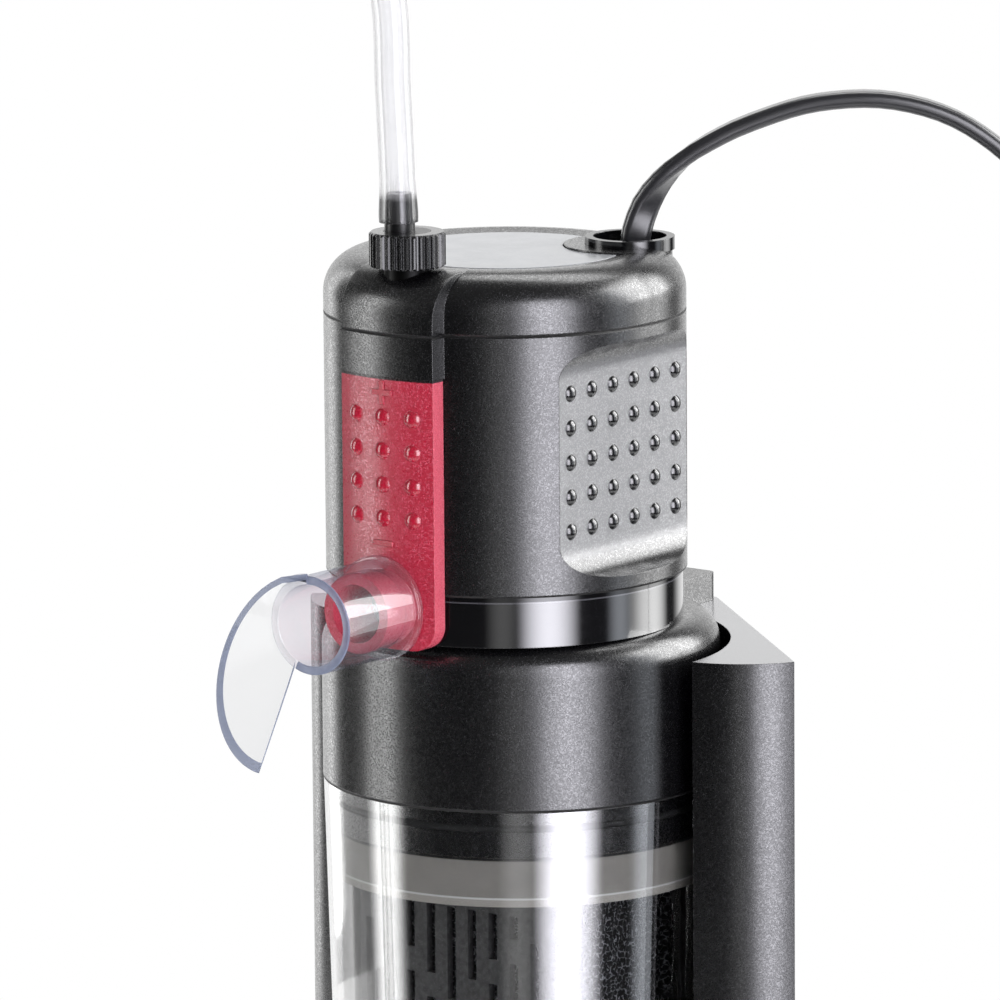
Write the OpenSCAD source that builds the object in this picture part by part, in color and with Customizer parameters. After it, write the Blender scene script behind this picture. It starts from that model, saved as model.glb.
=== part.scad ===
// Submersible canister filter on a corner holder, with air hose and power cable.
// Millimetres, +Z up. The origin is on the floor under the axis of the motor head,
// the outlet faces -Y and the holder stands behind the jar at +Y.

/* [Jar] */
// Height of the clear jar
jar_h = 150; // [130:1:180]
// Outer radius of the jar at its base
jar_base_r = 30.5; // [30:0.1:32]
// Wall of the jar
jar_wall = 2; // [1.5:0.1:2.2]
// Number of intake slots round the foot of the jar, an even count
intake_slots = 24; // [12:2:32]
// Width of an intake slot
intake_slot_w = 2.2; // [1.5:0.1:3]
// Height of an intake slot
intake_slot_h = 18; // [10:1:26]

/* [Collar] */
// Outer radius of the collar
collar_r = 34.3; // [34.2:0.1:36]
// Height of the collar above the jar
collar_h = 28.3; // [24:0.1:34]
// How far the collar and jar stand behind the head's axis
collar_back = 3.8; // [3:0.1:3.9]
// Rounding of the collar's top edge
collar_fillet = 5; // [3:0.1:6]
// Wall of the collar
collar_wall = 2.2; // [1.8:0.1:2.6]
// Depth of the skirt inside the jar
skirt_h = 8.1; // [6:0.1:10]
// Half width of the hook block that rests on the holder
hook_half_w = 9.2; // [8:0.1:11]
// Rear face of the hook block
hook_rear = 48.7; // [47:0.1:49]

/* [Media cartridges] */
// Height of a cartridge's round rim
rim_h = 8.6; // [7:0.1:10]
// Thickness of the cartridge plates
plate_t = 1.5; // [1.2:0.1:2]
// Width of a cartridge slot
slot_w = 1.8; // [1.4:0.1:2.4]
// Spacing of the slot columns
slot_pitch = 4.43; // [4:0.01:4.6]
// Height of a full slot
slot_h = 17.7; // [12:0.1:20]
// Bridge between two slots in a column
slot_web = 4.3; // [3:0.1:6]

/* [Pump] */
// Height of the neck between collar and head
neck_h = 8.7; // [8:0.1:9.5]
// Radius of the neck's spigot in the collar
spigot_r = 27.5; // [26.5:0.1:28]
// Length of the neck's spigot
spigot_h = 10; // [8:0.5:12]
// Inner radius of the impeller chamber
volute_r = 15; // [14:0.1:16]
// Radius of the rotor magnet
rotor_r = 8.6; // [8:0.1:8.8]
// Radius of the shaft
shaft_r = 1.5; // [1.2:0.1:2]
// Room round and above the potted stator
stator_gap = 1; // [0.5:0.1:2]
// Number of impeller blades
impeller_blades = 6; // [4:1:8]

/* [Head] */
// Outer radius of shell and cap
head_r = 31; // [31:0.1:31.4]
// Height of the head shell
shell_h = 44.6; // [44:0.1:47]
// Height of the cap
cap_h = 10.2; // [9.5:0.1:12]
// Wall of shell and cap
head_wall = 2.2; // [1.8:0.1:2.4]
// Rounding of the cap's top edge
cap_fillet = 7; // [5:0.1:7.5]
// How deep the grip flats lie in the shell
grip_depth = 5.8; // [5:0.1:6.1]
// Height of a grip flat with its rounded ends
grip_h = 40.1; // [34:0.1:41]
// Grip dot spacing
dot_pitch = 5.9; // [5:0.1:6.2]
// Base radius of a grip dot
dot_r = 1.45; // [1:0.05:1.8]
// Width of the cap's flat rim round the light disc
disc_rim = 4; // [3.8:0.1:5]

/* [Flow slider] */
// Width of the slider and of the column above it
slider_w = 19.5; // [19:0.1:21]
// How far slider and column stand out of the head
slider_out = 3; // [2.8:0.1:4]
// Height of the slider
slider_h = 46.4; // [46.4:0.1:47]
// Travel of the slider
slider_travel = 8; // [6:0.5:8]
// Height of the outlet's axis above the collar
outlet_z = 6.65; // [6.65:0.05:6.9]
// Radius of the outlet's bore
outlet_bore_r = 5; // [4:0.1:5]
// Outer radius of the outlet spigot
outlet_r = 6.45; // [6.3:0.05:6.6]

/* [Nozzle] */
// Outer radius of the clear nozzle tube
nozzle_r = 8.4; // [8.2:0.1:9]
// Inner radius of the nozzle tube
nozzle_bore_r = 6.95; // [6.9:0.05:7.2]
// Length of the nozzle tube
nozzle_len = 19.5; // [16:0.5:23]
// Flare of the scoop, outward travel for each mm forward
scoop_flare = 1.235; // [1:0.005:1.4]
// Wall of the scoop
scoop_wall = 1.2; // [0.9:0.1:1.5]

/* [Air control] */
// Radius of the ribbed air knob
knob_r = 6.5; // [6:0.1:7]
// Height of the air knob
knob_h = 5.9; // [5:0.1:7]
// Number of ribs on the air knob
knob_ribs = 34; // [24:1:40]
// Distance of the knob's axis from the head's outline
knob_inset = 4.3; // [4:0.1:5]
// Radius of the stem above the knob
stem_r = 2.6; // [2.4:0.1:2.8]
// Outer diameter of the air hose
hose_d = 6; // [5:0.5:7]

/* [Power cable] */
// Outer radius of the cable gland
gland_r = 7.7; // [7.2:0.1:8]
// Width of the flat twin lead
lead_w = 5.2; // [4.8:0.1:5.6]
// Thickness of the flat twin lead
lead_t = 3.2; // [2.8:0.1:3.4]
// Number of loops in the coil, an even count over two layers
coil_loops = 6; // [4:2:8]

/* [Holder] */
// Half width of the holder across its wing tips
tip_x = 52.3; // [51:0.1:54]
// Place of the wing tips behind the head's axis
tip_y = 11.7; // [11:0.1:12.5]
// Angle of the wing faces
wing_angle = 40.8; // [40:0.1:42]
// Rear face of the holder
holder_rear = 50; // [49.8:0.1:52]
// Wall of the holder
holder_wall = 2.2; // [1.8:0.1:2.4]
// Radius of a suction cup
cup_r = 11; // [9:0.5:12]

/* [Hidden] */
$fn = 64;

// Clearances
run_gap = 0.05;      // running fit of a shaft in its bore
slip_gap = 0.3;      // pieces that slide past each other
seat_gap = 0.1;      // pieces seated in one another
eps = 0.02;

// Heights
head_z = jar_h + collar_h;          // collar top, where the head is seated
cap_z = neck_h + shell_h;           // seam of cap and shell, above the collar
top_z = cap_z + cap_h;              // flat top of the cap
holder_drop = 4.2;                  // the holder's top lies this far below the collar top
holder_h = head_z - holder_drop;
slider_low = -0.4;                  // lower end of the slider, above the collar
slider_top = slider_low + slider_h;

// Jar and collar
jar_inset = 0.1;                    // step from collar to jar
jar_top_r = collar_r - jar_inset;
jar_taper = (jar_top_r - jar_base_r) / jar_h;
jar_foot = 2;                       // chamfer at the jar's foot
intake_low = 6;                     // lower end of the intake slots
skirt_wall = 1.9;
skirt_r = jar_top_r - jar_wall - skirt_h * jar_taper - 0.2;
ledge_h = 6.3;                      // thick band of the collar over the jar's rim
roof = 2.5;                         // top wall of the collar
socket_r = spigot_r + 0.5;          // bore in the collar for the neck's spigot
socket_wall = 2;
socket_depth = spigot_h + 2;
seal_d = 1.4;                       // section of the collar seal
seal_drop = 3.1;                    // collar seal below the jar's rim
hook_front = collar_back + collar_r - collar_wall + 0.1;   // inside the collar's wall
hook_rise = 4.9;                    // height of the hook block
hook_corner = 2;
tongue = [13, 3, 10];               // tongue that drops into the holder

// Cartridges
cart_gap = 0.35;
cart_side = sqrt(2) * (jar_base_r - jar_wall - cart_gap);
cart_h = (jar_h - skirt_h - jar_wall) / 2;
rim_wall = 2.2;
rim_gap = 0.3;                      // rim to jar
rim_window = 30;                    // square opening in the rim's floor
slot_top = 3.4;                     // first slot below the rim
slot_columns = 4;                   // to each side of the middle one
slot_stagger = 4.1;                 // each column's webs lie higher by this
first_slot = 16.3;
foam_gap = 0.4;

// Pump
floor_t = 2.2;
volute_wall = 2;
volute_top = 14;
cover_t = 2;
rotor_gap = 0.6;
hub_r = 5.4;
intake_r = 9;
bush_r = 4;
bush_low = [0.8, 4];
impeller_low = 5;
impeller_disc = [11, 12.5];
impeller_r = volute_r - 2;
blade_t = 1.5;
bush_seat = 1.5;                    // potting above the upper bush
boss_r = outlet_bore_r + 1.6;
boss_front = head_r - 0.05;         // boss trimmed to this radius
neck_seal_drop = 5;
neck_seal_d = 2;
neck_seal_r = socket_r - seat_gap - neck_seal_d / 2;
neck_r = head_r - 0.7;              // outer radius of the glossy neck

// Slider details
slider_r = head_r + slider_out;     // front of slider and column
slider_back_r = head_r + slip_gap;
slab_depth = 18;                    // depth of the front slab behind the slider's front
slider_corner = 4;
web_w = 6;
web_h = 14;
web_low = outlet_z + boss_r + 0.75 + slider_travel;
web_z = [web_low, web_low + web_h]; // web and flange that run in the shell's slot
flange_w = 10;
flange_t = 1.4;
flange_r = head_r - head_wall - 0.4;
spigot_out = 7.6;
spigot_front = slider_r + spigot_out;
spigot_lip = [0.35, 1.2];           // retaining lip, radial and along the axis
slider_dots = [3, 4];
slider_dot_pitch = [5.96, 5.77];
slider_dot_low = 21.9;
mark_z = [43.4, 17.65];             // plus and minus marks
mark_size = [4, 0.9, 0.3];
dot_h = 0.75;

// Nozzle details
nozzle_rear = slider_r + 0.5;
nozzle_front = nozzle_rear + nozzle_len;
bead = [2, outlet_r + run_gap];     // inner bead, length and bore
nozzle_lip = [0.6, 1.5];
scoop_reach = 14;
rim_forward = 3.7;                  // scoop rim ahead of the tube end at the axis
rim_lean = 19.8;
side_turn = 22;
side_lean = 11;
side_point = [0, 9.05, 0.4];

half_space = 2 * nozzle_front;      // size of the blocks that stand for half spaces

// Head details
grip_x = head_r - grip_depth;       // distance of the grip flats from the axis
disc_r = head_r - cap_fillet - disc_rim;
grip_mid = neck_h + shell_h / 2 + 0.15;   // middle of the grip above the collar
grip_shelf = 0.9;                   // wall above and below the grip's inner flat
inner_flat = [grip_mid - grip_h / 2 - grip_shelf, grip_mid + grip_h / 2 + grip_shelf];
locate_h = inner_flat[0] - neck_h - seat_gap;   // neck's ring inside the shell
cap_lip_h = cap_z - inner_flat[1] - seat_gap;   // cap's lip inside the shell
grip_half = 18;
grip_scoop = 6;
grip_corner = 5;
grip_dots = [6, 5];
column_fillet = 8;
cap_lip_t = 1.8;
disc_t = 1.2;
disc_drop = 0.3;
dish = [3.5, 0.35];
gland_at = [14, 17];
pad_r = 11.3;
gland_ring = 2.2;
gland_rise = 1.3;
gland_bore = 6.3;
gland_barrel_r = 7;
gland_depth = 6.5;
ring_low = top_z + gland_rise - gland_ring;
cap_inner = head_r - head_wall - seat_gap - cap_lip_t;   // inside of the cap and its lip
relief_at = gland_at + [0.7, 0.5];
relief_top = top_z - 0.5;
relief_len = 21;
relief_r = [4.2, 4.6, 5.2, 3.2];    // lower end, under the flange, above it, tip
stator_r = grip_x - head_wall - stator_gap;
stator_top = relief_top - relief_len - stator_gap;
bush_high = [stator_top - 5, stator_top - bush_seat];
shaft_ends = [1, bush_high[1] - 1];
rotor_top = bush_high[0] - 2;

// Air control details
knob_front = head_r - knob_inset;   // knob's axis in front of the head's
knob_low = top_z + 0.5;
knob_top = knob_low + knob_h;
barrel_r = 4;
stem_off = [-1, -0.75];
stem_h = 1.6;
barb = [2.25, 2.05, 4.9];
pipe_r = 1.5;
pipe_at = [0, 6.5 - head_r];
air_bore_r = 0.8;
foot_z = [top_z - 6, top_z - head_wall - 0.2];
rib_depth = 0.35;

// Holder details
pocket_r = collar_back + collar_r + slip_gap;   // the collar nests in the holder's pocket
tongue_y = pocket_r + holder_wall + 1.9;
cup_rows = [40, 130];               // heights of the two rows of suction cups
cheek_at = [34.8, 21.2];
cheek_r = 20;
rib_x = 9;
rib_t = 1.6;
cup_plane = 66 / sqrt(2);           // distance of the glass from the axis
cup_side = 20;                      // cup axis beside the diagonal
seat = [cup_plane - 7.4, cup_plane - 4.2];
cup_boss_r = 5.5;
cup_neck_r = 3;
cup_head = [4, 1.5];

// Cord routes: points and the direction of the lead's wide side
lead_start = [
    [[14.7, 17.5, 241.3], [8, 6, 0]], [[15, 17.7, 244], [8, 6, 0]],
    [[16, 18.6, 248.5], [2, 9, 0]], [[18.5, 20.5, 252.5], [-5, 8, 0]],
    [[21.5, 22.7, 255.6], [-6, 8, 0]], [[25, 25.5, 258.8], [-6, 8, 0]],
    [[30.5, 29.8, 262.5], [-6, 8, 0]], [[39.5, 36.7, 265.8], [-6, 8, 0]],
    [[50, 44.5, 266], [-6, 8, 0]], [[60, 52.3, 261.5], [-6, 8, 0]],
    [[69, 59.3, 251], [-6, 8, 0]], [[75, 64, 234], [-6, 8, 0]],
    [[77, 65, 210], [-7, 7, 0]], [[77, 64, 170], [-8, 6, 0]],
    [[75, 62, 125], [-9, 4, 0]], [[72, 58, 80], [-9, 2, 0]],
    [[67, 50, 42], [-9, 2, 0]], [[62, 38, 14], [-9, 0, 3]],
    [[60, 29, 4.5], [-6, 0, 7]], [[60, 22, 2.7], [0, 0, 9]], [[60, 16, 2.6], [0, 0, 9]]
];
lead_end = [
    [[60, 4, 8.3], [0, 0, 9]], [[60, -1, 8.2], [0, 0, 9]],
    [[60, -6, 7.8], [4, 0, 8]], [[60, -12, 7], [9, 0, 2]], [[60, -18, 6.9], [9, 0, 0]]
];
hose_route = [
    [-1, -27.5, 249.8], [-1.2, -27.6, 257], [-2, -28.2, 272], [-3, -29, 290],
    [-8, -33, 309], [-18, -40.5, 322], [-31, -50.5, 327], [-44, -60.5, 322],
    [-54, -68, 309], [-59, -72, 290], [-60, -73, 250], [-60, -73, 180],
    [-60, -73, 110], [-60, -72, 60], [-60, -66, 26], [-60, -54, 8],
    [-60, -40, 3.1], [-60, -20, 3], [-60, 6, 3.5], [-60, 16, 4.5], [-60, 24, 4.5]
];
intake_len = 22;
intake_end_r = 4.5;

// Coil on the floor
coil_at = [95, 10];
coil_out_r = 35;
coil_pitch = lead_t + 0.5;
coil_layer = lead_w + 0.5;
coil_rings = 24;
coil_sides = 6;
coil_dip = 2.2;                     // the climbing half turn lies this far further in
coil_stub = 6;                      // straight ends of the coil
coil_half = coil_loops / 2;
tie_w = 4;
tie_t = 0.8;

// Plug at the end of the lead
plug_size = [26, 36, 13.7];
plug_at = [60, -18];
pin_r = 2;
pin_len = 19;
pin_root = 5;                       // part of a pin inside the plug
pin_gap = 18.6;

// ---------- helpers ----------

module at_head() { translate([0, 0, head_z]) children(); }

module at_jar() { translate([0, collar_back, 0]) children(); }

// Half profile of a round block whose top edge is rounded
module rounded_block(r, h, fillet) {
    square([r - fillet, h]);
    square([r, h - fillet]);
    translate([r - fillet, h - fillet]) intersection() {
        circle(fillet);
        square(fillet + 1);
    }
}

module tube(r_out, r_in, h) {
    difference() {
        cylinder(r = r_out, h = h);
        translate([0, 0, -1]) cylinder(r = r_in, h = h + 2);
    }
}

// Rectangle with rounded corners, centred
module rounded_rect(w, h, r) {
    square([w - 2 * r, h], center = true);
    square([w, h - 2 * r], center = true);
    for (sx = [-1, 1], sy = [-1, 1]) translate([sx * (w / 2 - r), sy * (h / 2 - r)]) circle(r);
}

// Dot: the cap of a sphere that stands out of a face at x = 0
module dot(base_r) {
    ball_r = (base_r * base_r + dot_h * dot_h) / (2 * dot_h);
    translate([dot_h - ball_r, 0, 0]) sphere(ball_r, $fn = 32);
}

// Local z runs forward along the outlet's axis, local y is up
module at_outlet() { at_head() translate([0, 0, outlet_z]) rotate([90, 0, 0]) children(); }

// Vertical slab across the front that bounds the column and the slider
module front_slab(low, high) {
    translate([-slider_w / 2, -slider_r - 2, low]) cube([slider_w, slab_depth, high - low]);
}

// ---------- cords ----------

// Catmull-Rom point between p[1] and p[2]
function blend(p, t) =
    0.5 * (2 * p[1] + (p[2] - p[0]) * t
    + (2 * p[0] - 5 * p[1] + 4 * p[2] - p[3]) * t * t
    + (3 * p[1] - p[0] - 3 * p[2] + p[3]) * t * t * t);

function clamped(list, i) = list[max(0, min(len(list) - 1, i))];

// Curve through the points with rings about one step apart
function curve(p, step) = [
    for (i = [0 : len(p) - 2])
        let (parts = max(1, round(norm(p[i + 1] - p[i]) / step)))
        for (k = [0 : parts - 1])
            blend([clamped(p, i - 1), p[i], p[i + 1], clamped(p, i + 2)], k / parts),
    p[len(p) - 1]
];

function unit(v) = v / norm(v);

function along(path, i) = unit(clamped(path, i + 1) - clamped(path, i - 1));

function total(v, i = 0) = i < len(v) ? v[i] + total(v, i + 1) : 0;

function path_length(path) = total([for (i = [1 : len(path) - 1]) norm(path[i] - path[i - 1])]);

// One ring of the sweep: a flat section of sides corners, its wide side along the given direction
function ring(path, wide, i, wide_size, thick_size, sides) =
    let (
        t = along(path, i), w = unit(wide[i] - (wide[i] * t) * t), n = cross(t, w),
        a = wide_size / 2 / cos(180 / sides),
        b = thick_size / 2 / (sides % 4 == 0 ? cos(180 / sides) : 1)
    )
    [for (k = [0 : sides - 1]) let (u = 360 * (k + 0.5) / sides)
        path[i] + a * cos(u) * w + b * sin(u) * n];

// Closed sweep over a list of rings with the same number of points, kept above the floor
module skin(rings) {
    sides = len(rings[0]);
    last = len(rings) - 1;
    points = [for (r = rings, p = r) [p[0], p[1], max(p[2], 0)]];
    polyhedron(points, [
        for (k = [1 : sides - 2]) [0, k, k + 1],
        for (i = [0 : last - 1], k = [0 : sides - 1])
            let (a = i * sides + k, b = i * sides + (k + 1) % sides)
            each [[a, a + sides, b], [b, a + sides, b + sides]],
        for (k = [1 : sides - 2]) [last * sides, last * sides + k + 1, last * sides + k]
    ]);
}

module flat_lead(name, route) {
    step = 2.7 * lead_w;
    path = curve([for (r = route) r[0]], step);
    wide = wide_along(route, step);
    echo(name, path_length(path));
    skin([for (i = [0 : len(path) - 1]) ring(path, wide, i, lead_w, lead_t, 8)]);
}

// Width directions at the same places as curve() puts its points
function wide_along(route, step) = [
    for (i = [0 : len(route) - 2])
        let (parts = max(1, round(norm(route[i + 1][0] - route[i][0]) / step)))
        for (k = [0 : parts - 1])
            unit(route[i][1]) * (1 - k / parts) + unit(route[i + 1][1]) * (k / parts),
    route[len(route) - 1][1]
];

function ease(x) = (1 - cos(180 * x)) / 2;

// Coil: spirals in on the lower layer and out again on the upper one, and dips
// inward where it climbs, clear of the loops beside it
function coil_point(turn) =
    let (
        inward = min(turn, coil_loops - turn),
        dip = min(1, max(0, (0.55 - abs(turn - coil_half)) / 0.3)),
        r = coil_out_r - coil_pitch * inward - coil_dip * ease(dip),
        climb = min(1, max(0, (turn - coil_half + 0.25) / 0.5)),
        a = 180 + 360 * turn
    )
    [coil_at[0] + r * cos(a), coil_at[1] + r * sin(a),
        lead_w / 2 + coil_layer * ease(climb)];

coil_path = concat(
    [coil_point(0) + [0, coil_stub, 0]],
    [for (i = [0 : coil_loops * coil_rings]) coil_point(i / coil_rings)],
    [coil_point(coil_loops) - [0, coil_stub, 0]]
);

// Least distance between two places on the coil that are over half a loop apart
function coil_gap() = min([
    for (i = [1 : 2 : len(coil_path) - 2])
        for (j = [i + coil_rings / 2 : 1 : len(coil_path) - 2])
            let (d = coil_path[j] - coil_path[i], flat = norm([d[0], d[1]]), rise = abs(d[2]))
            max(flat - lead_t, rise - lead_w)
]);

// ---------- holder ----------

// Side face of the holder: x at a given y, moved inward by an inset
function side_x(y, inset) =
    tip_x - (y - tip_y) / tan(wing_angle) - inset / sin(wing_angle);

// Plan of the holder, or of its inner chambers when inset by the wall
module holder_plan(inset) {
    rear = holder_rear - inset;
    difference() {
        intersection() {
            polygon([
                [side_x(0, inset), 0], [side_x(rear, inset), rear],
                [-side_x(rear, inset), rear], [-side_x(0, inset), 0]
            ]);
            union() {
                for (s = [-1, 1]) translate([s * cheek_at[0], cheek_at[1]]) circle(cheek_r - inset);
                translate([-tip_x, cheek_at[1]]) square([2 * tip_x, holder_rear]);
            }
        }
        circle(pocket_r + inset);
    }
}

// Places a child on a suction cup's axis: local z runs outward along the diagonal
module at_cup(side, height) {
    mirror([side < 0 ? 1 : 0, 0, 0])
        rotate([0, 0, 45])
            translate([0, cup_side, height])
                rotate([0, 90, 0]) children();
}

module each_cup() {
    for (side = [-1, 1], height = cup_rows) at_cup(side, height) children();
}

module holder() {
    color([0.13, 0.13, 0.13]) difference() {
        union() {
            difference() {
                linear_extrude(holder_h) holder_plan(0);
                translate([0, 0, -1]) linear_extrude(holder_h - holder_wall + 1) difference() {
                    holder_plan(holder_wall);
                    for (s = [-1, 1]) translate([s * rib_x - rib_t / 2, 0]) square([rib_t, holder_rear]);
                }
            }
            each_cup() translate([0, 0, seat[0]]) cylinder(r = cup_boss_r, h = seat[1] - seat[0]);
        }
        each_cup() translate([0, 0, seat[0] - cup_head[1] - 0.1])
            cylinder(r = cup_neck_r + seat_gap, h = cup_plane - seat[0]);
        translate([-tongue[0] / 2 - slip_gap, tongue_y - slip_gap, holder_h - tongue[2] - 1])
            cube([tongue[0] + 2 * slip_gap, tongue[1] + 2 * slip_gap, tongue[2] + 2]);
    }
}

module suction_cups() {
    color([0.2, 0.2, 0.2]) each_cup() rotate_extrude() polygon([
        [0, seat[0] - cup_head[1]], [cup_head[0] - 0.6, seat[0] - cup_head[1]],
        [cup_head[0], seat[0]], [cup_neck_r, seat[0]],
        [cup_neck_r, seat[1]], [cup_r * 0.45, seat[1]],
        [cup_r, cup_plane - 0.8], [cup_r, cup_plane], [cup_r - 2, cup_plane],
        [cup_r * 0.4, cup_plane - 1.2], [0, cup_plane - 1.4]
    ]);
}

// ---------- jar and collar ----------

module jar() {
    foot_in = jar_base_r - jar_wall;
    color([0.8, 0.88, 0.9, 0.35]) at_jar() difference() {
        rotate_extrude() difference() {
            polygon([
                [0, 0], [jar_base_r - jar_foot, 0], [jar_base_r + jar_foot * jar_taper, jar_foot],
                [jar_top_r, jar_h], [0, jar_h]
            ]);
            polygon([
                [0, jar_wall], [foot_in, jar_wall],
                [jar_top_r - jar_wall + jar_taper, jar_h + 1], [0, jar_h + 1]
            ]);
        }
        for (i = [0 : intake_slots / 2 - 1])
            rotate([0, 0, (i + 0.5) * 360 / intake_slots])
                translate([-jar_top_r, -intake_slot_w / 2, intake_low])
                    cube([2 * jar_top_r, intake_slot_w, intake_slot_h]);
    }
}

module collar() {
    skirt_in = skirt_r - skirt_wall;
    color([0.14, 0.14, 0.15]) difference() {
        union() {
            translate([0, collar_back, jar_h]) rotate_extrude() difference() {
                union() {
                    rounded_block(collar_r, collar_h, collar_fillet);
                    translate([0, -skirt_h]) square([skirt_r, skirt_h + 1]);
                }
                translate([0, -skirt_h - 1]) square([skirt_in, skirt_h + 2 + ledge_h]);
                translate([0, ledge_h]) square([collar_r - collar_wall, collar_h - roof - ledge_h]);
            }
            at_head() translate([0, 0, -socket_depth])
                cylinder(r = socket_r + socket_wall, h = socket_depth - roof + eps);
            hook();
        }
        at_head() translate([0, 0, -socket_depth - 1]) cylinder(r = socket_r, h = socket_depth + 2);
        at_jar() translate([0, 0, jar_h - seal_drop]) collar_seal_ring(seal_d / 2 + 0.05);
    }
}

// Block at the collar's back that rests on the holder, with its tongue
module hook() {
    translate([0, 0, holder_h]) {
        linear_extrude(hook_rise) {
            translate([-hook_half_w, hook_front])
                square([2 * hook_half_w, hook_rear - hook_front - hook_corner]);
            translate([-hook_half_w + hook_corner, hook_front])
                square([2 * (hook_half_w - hook_corner), hook_rear - hook_front]);
            for (s = [-1, 1])
                translate([s * (hook_half_w - hook_corner), hook_rear - hook_corner])
                    circle(hook_corner);
        }
        translate([-tongue[0] / 2, tongue_y, -tongue[2]]) cube([tongue[0], tongue[1], tongue[2] + 1]);
    }
}

module collar_seal_ring(section_r) {
    rotate_extrude() translate([skirt_r + 0.25 - seal_d / 2, 0]) circle(section_r);
}

module collar_seal() {
    color([0.05, 0.05, 0.05]) at_jar() translate([0, 0, jar_h - seal_drop]) collar_seal_ring(seal_d / 2);
}

// ---------- media cartridges ----------

// Inner radius of the jar at a height
function jar_inner(z) = jar_base_r - jar_wall + z * jar_taper;

module cartridge_rim(low) {
    r = jar_inner(low + cart_h - rim_h) - rim_gap;
    color([0.55, 0.57, 0.58, 0.8]) at_jar() translate([0, 0, low + cart_h - rim_h]) difference() {
        cylinder(r = r, h = rim_h);
        translate([0, 0, plate_t]) cylinder(r = r - rim_wall, h = rim_h);
        translate([-rim_window / 2, -rim_window / 2, -1]) cube([rim_window, rim_window, plate_t + 2]);
    }
}

// Open-sided basket: slotted front and rear plates on a floor plate
module cartridge(low) {
    tall = cart_h - rim_h;
    first = tall - slot_top;
    color([0.27, 0.27, 0.28]) at_jar() translate([-cart_side / 2, -cart_side / 2, low]) difference() {
        union() {
            cube([cart_side, cart_side, plate_t]);
            cube([cart_side, plate_t, tall]);
            translate([0, cart_side - plate_t, 0]) cube([cart_side, plate_t, tall]);
        }
        for (i = [-slot_columns : slot_columns]) {
            lead = first_slot - slot_stagger * abs(i);
            translate([cart_side / 2 + i * slot_pitch - slot_w / 2, -1, 0]) {
                if (lead > 1) translate([0, 0, first - lead]) cube([slot_w, cart_side + 2, lead]);
                for (top = [first - lead - slot_web : -slot_h - slot_web : 3 * plate_t])
                    let (bottom = max(2 * plate_t, top - slot_h))
                    translate([0, 0, bottom]) cube([slot_w, cart_side + 2, top - bottom]);
            }
        }
    }
}

module foam(low) {
    wide = cart_side - 2 * foam_gap;
    color([0.1, 0.1, 0.1]) translate([-wide / 2, collar_back - cart_side / 2 + plate_t, low + plate_t])
        cube([wide, cart_side - 2 * plate_t, cart_h - rim_h - plate_t]);
}

module lower_cartridge_rim() { cartridge_rim(jar_wall); }
module lower_cartridge() { cartridge(jar_wall); }
module lower_foam() { foam(jar_wall); }
module upper_cartridge_rim() { cartridge_rim(jar_wall + cart_h); }
module upper_cartridge() { cartridge(jar_wall + cart_h); }
module upper_foam() { foam(jar_wall + cart_h); }

// ---------- pump ----------

module neck() {
    loc_r = head_r - head_wall - seat_gap;
    color([0.05, 0.05, 0.05]) at_head() difference() {
        union() {
            difference() {
                union() {
                    cylinder(r = neck_r, h = neck_h);
                    translate([0, 0, -spigot_h]) cylinder(r = spigot_r, h = spigot_h + 1);
                    cylinder(r = loc_r, h = neck_h + locate_h);
                }
                translate([0, 0, floor_t]) cylinder(r = loc_r - 2, h = neck_h + locate_h);
                translate([0, 0, -spigot_h - 1]) cylinder(r = spigot_r - 3, h = spigot_h + 1);
            }
            cylinder(r = volute_r + volute_wall, h = volute_top);
            intersection() {
                translate([0, 0, outlet_z]) rotate([90, 0, 0]) cylinder(r = boss_r, h = head_r + 2);
                cylinder(r = boss_front, h = volute_top);
            }
        }
        translate([0, 0, floor_t]) cylinder(r = volute_r, h = volute_top);
        translate([0, 0, outlet_z]) rotate([90, 0, 0]) cylinder(r = outlet_bore_r, h = head_r + 2);
        difference() {
            translate([0, 0, -1]) cylinder(r = intake_r, h = floor_t + 2);
            translate([0, 0, -2]) cylinder(r = hub_r, h = floor_t + 4);
            for (a = [30, 150, 270]) rotate([0, 0, a]) translate([0, -1, -2]) cube([intake_r + 1, 2, floor_t + 4]);
        }
        translate([0, 0, bush_low[0]]) cylinder(r = bush_r + 0.03, h = floor_t + 1);
        translate([0, 0, -neck_seal_drop]) rotate_extrude()
            translate([neck_seal_r - neck_seal_d / 2 - seat_gap, -neck_seal_d / 2 - seat_gap])
                square([neck_seal_d + 1, neck_seal_d + 2 * seat_gap]);
        translate([pipe_at[0], pipe_at[1], outlet_z]) cylinder(r = pipe_r + run_gap, h = boss_r + 1);
    }
}

module neck_seal() {
    color([0.08, 0.08, 0.08]) at_head() translate([0, 0, -neck_seal_drop]) rotate_extrude()
        translate([neck_seal_r, 0]) circle(neck_seal_d / 2);
}

module volute_cover() {
    color([0.3, 0.3, 0.32]) at_head() translate([0, 0, volute_top])
        tube(volute_r + volute_wall, rotor_r + 1, cover_t);
}

module bush(ends) {
    color([0.15, 0.15, 0.15]) at_head() translate([0, 0, ends[0]])
        tube(bush_r, shaft_r + 0.02, ends[1] - ends[0]);
}

module lower_bush() { bush(bush_low); }
module upper_bush() { bush(bush_high); }

module shaft() {
    color([0.92, 0.92, 0.9]) at_head() translate([0, 0, shaft_ends[0]])
        cylinder(r = shaft_r, h = shaft_ends[1] - shaft_ends[0]);
}

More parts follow.
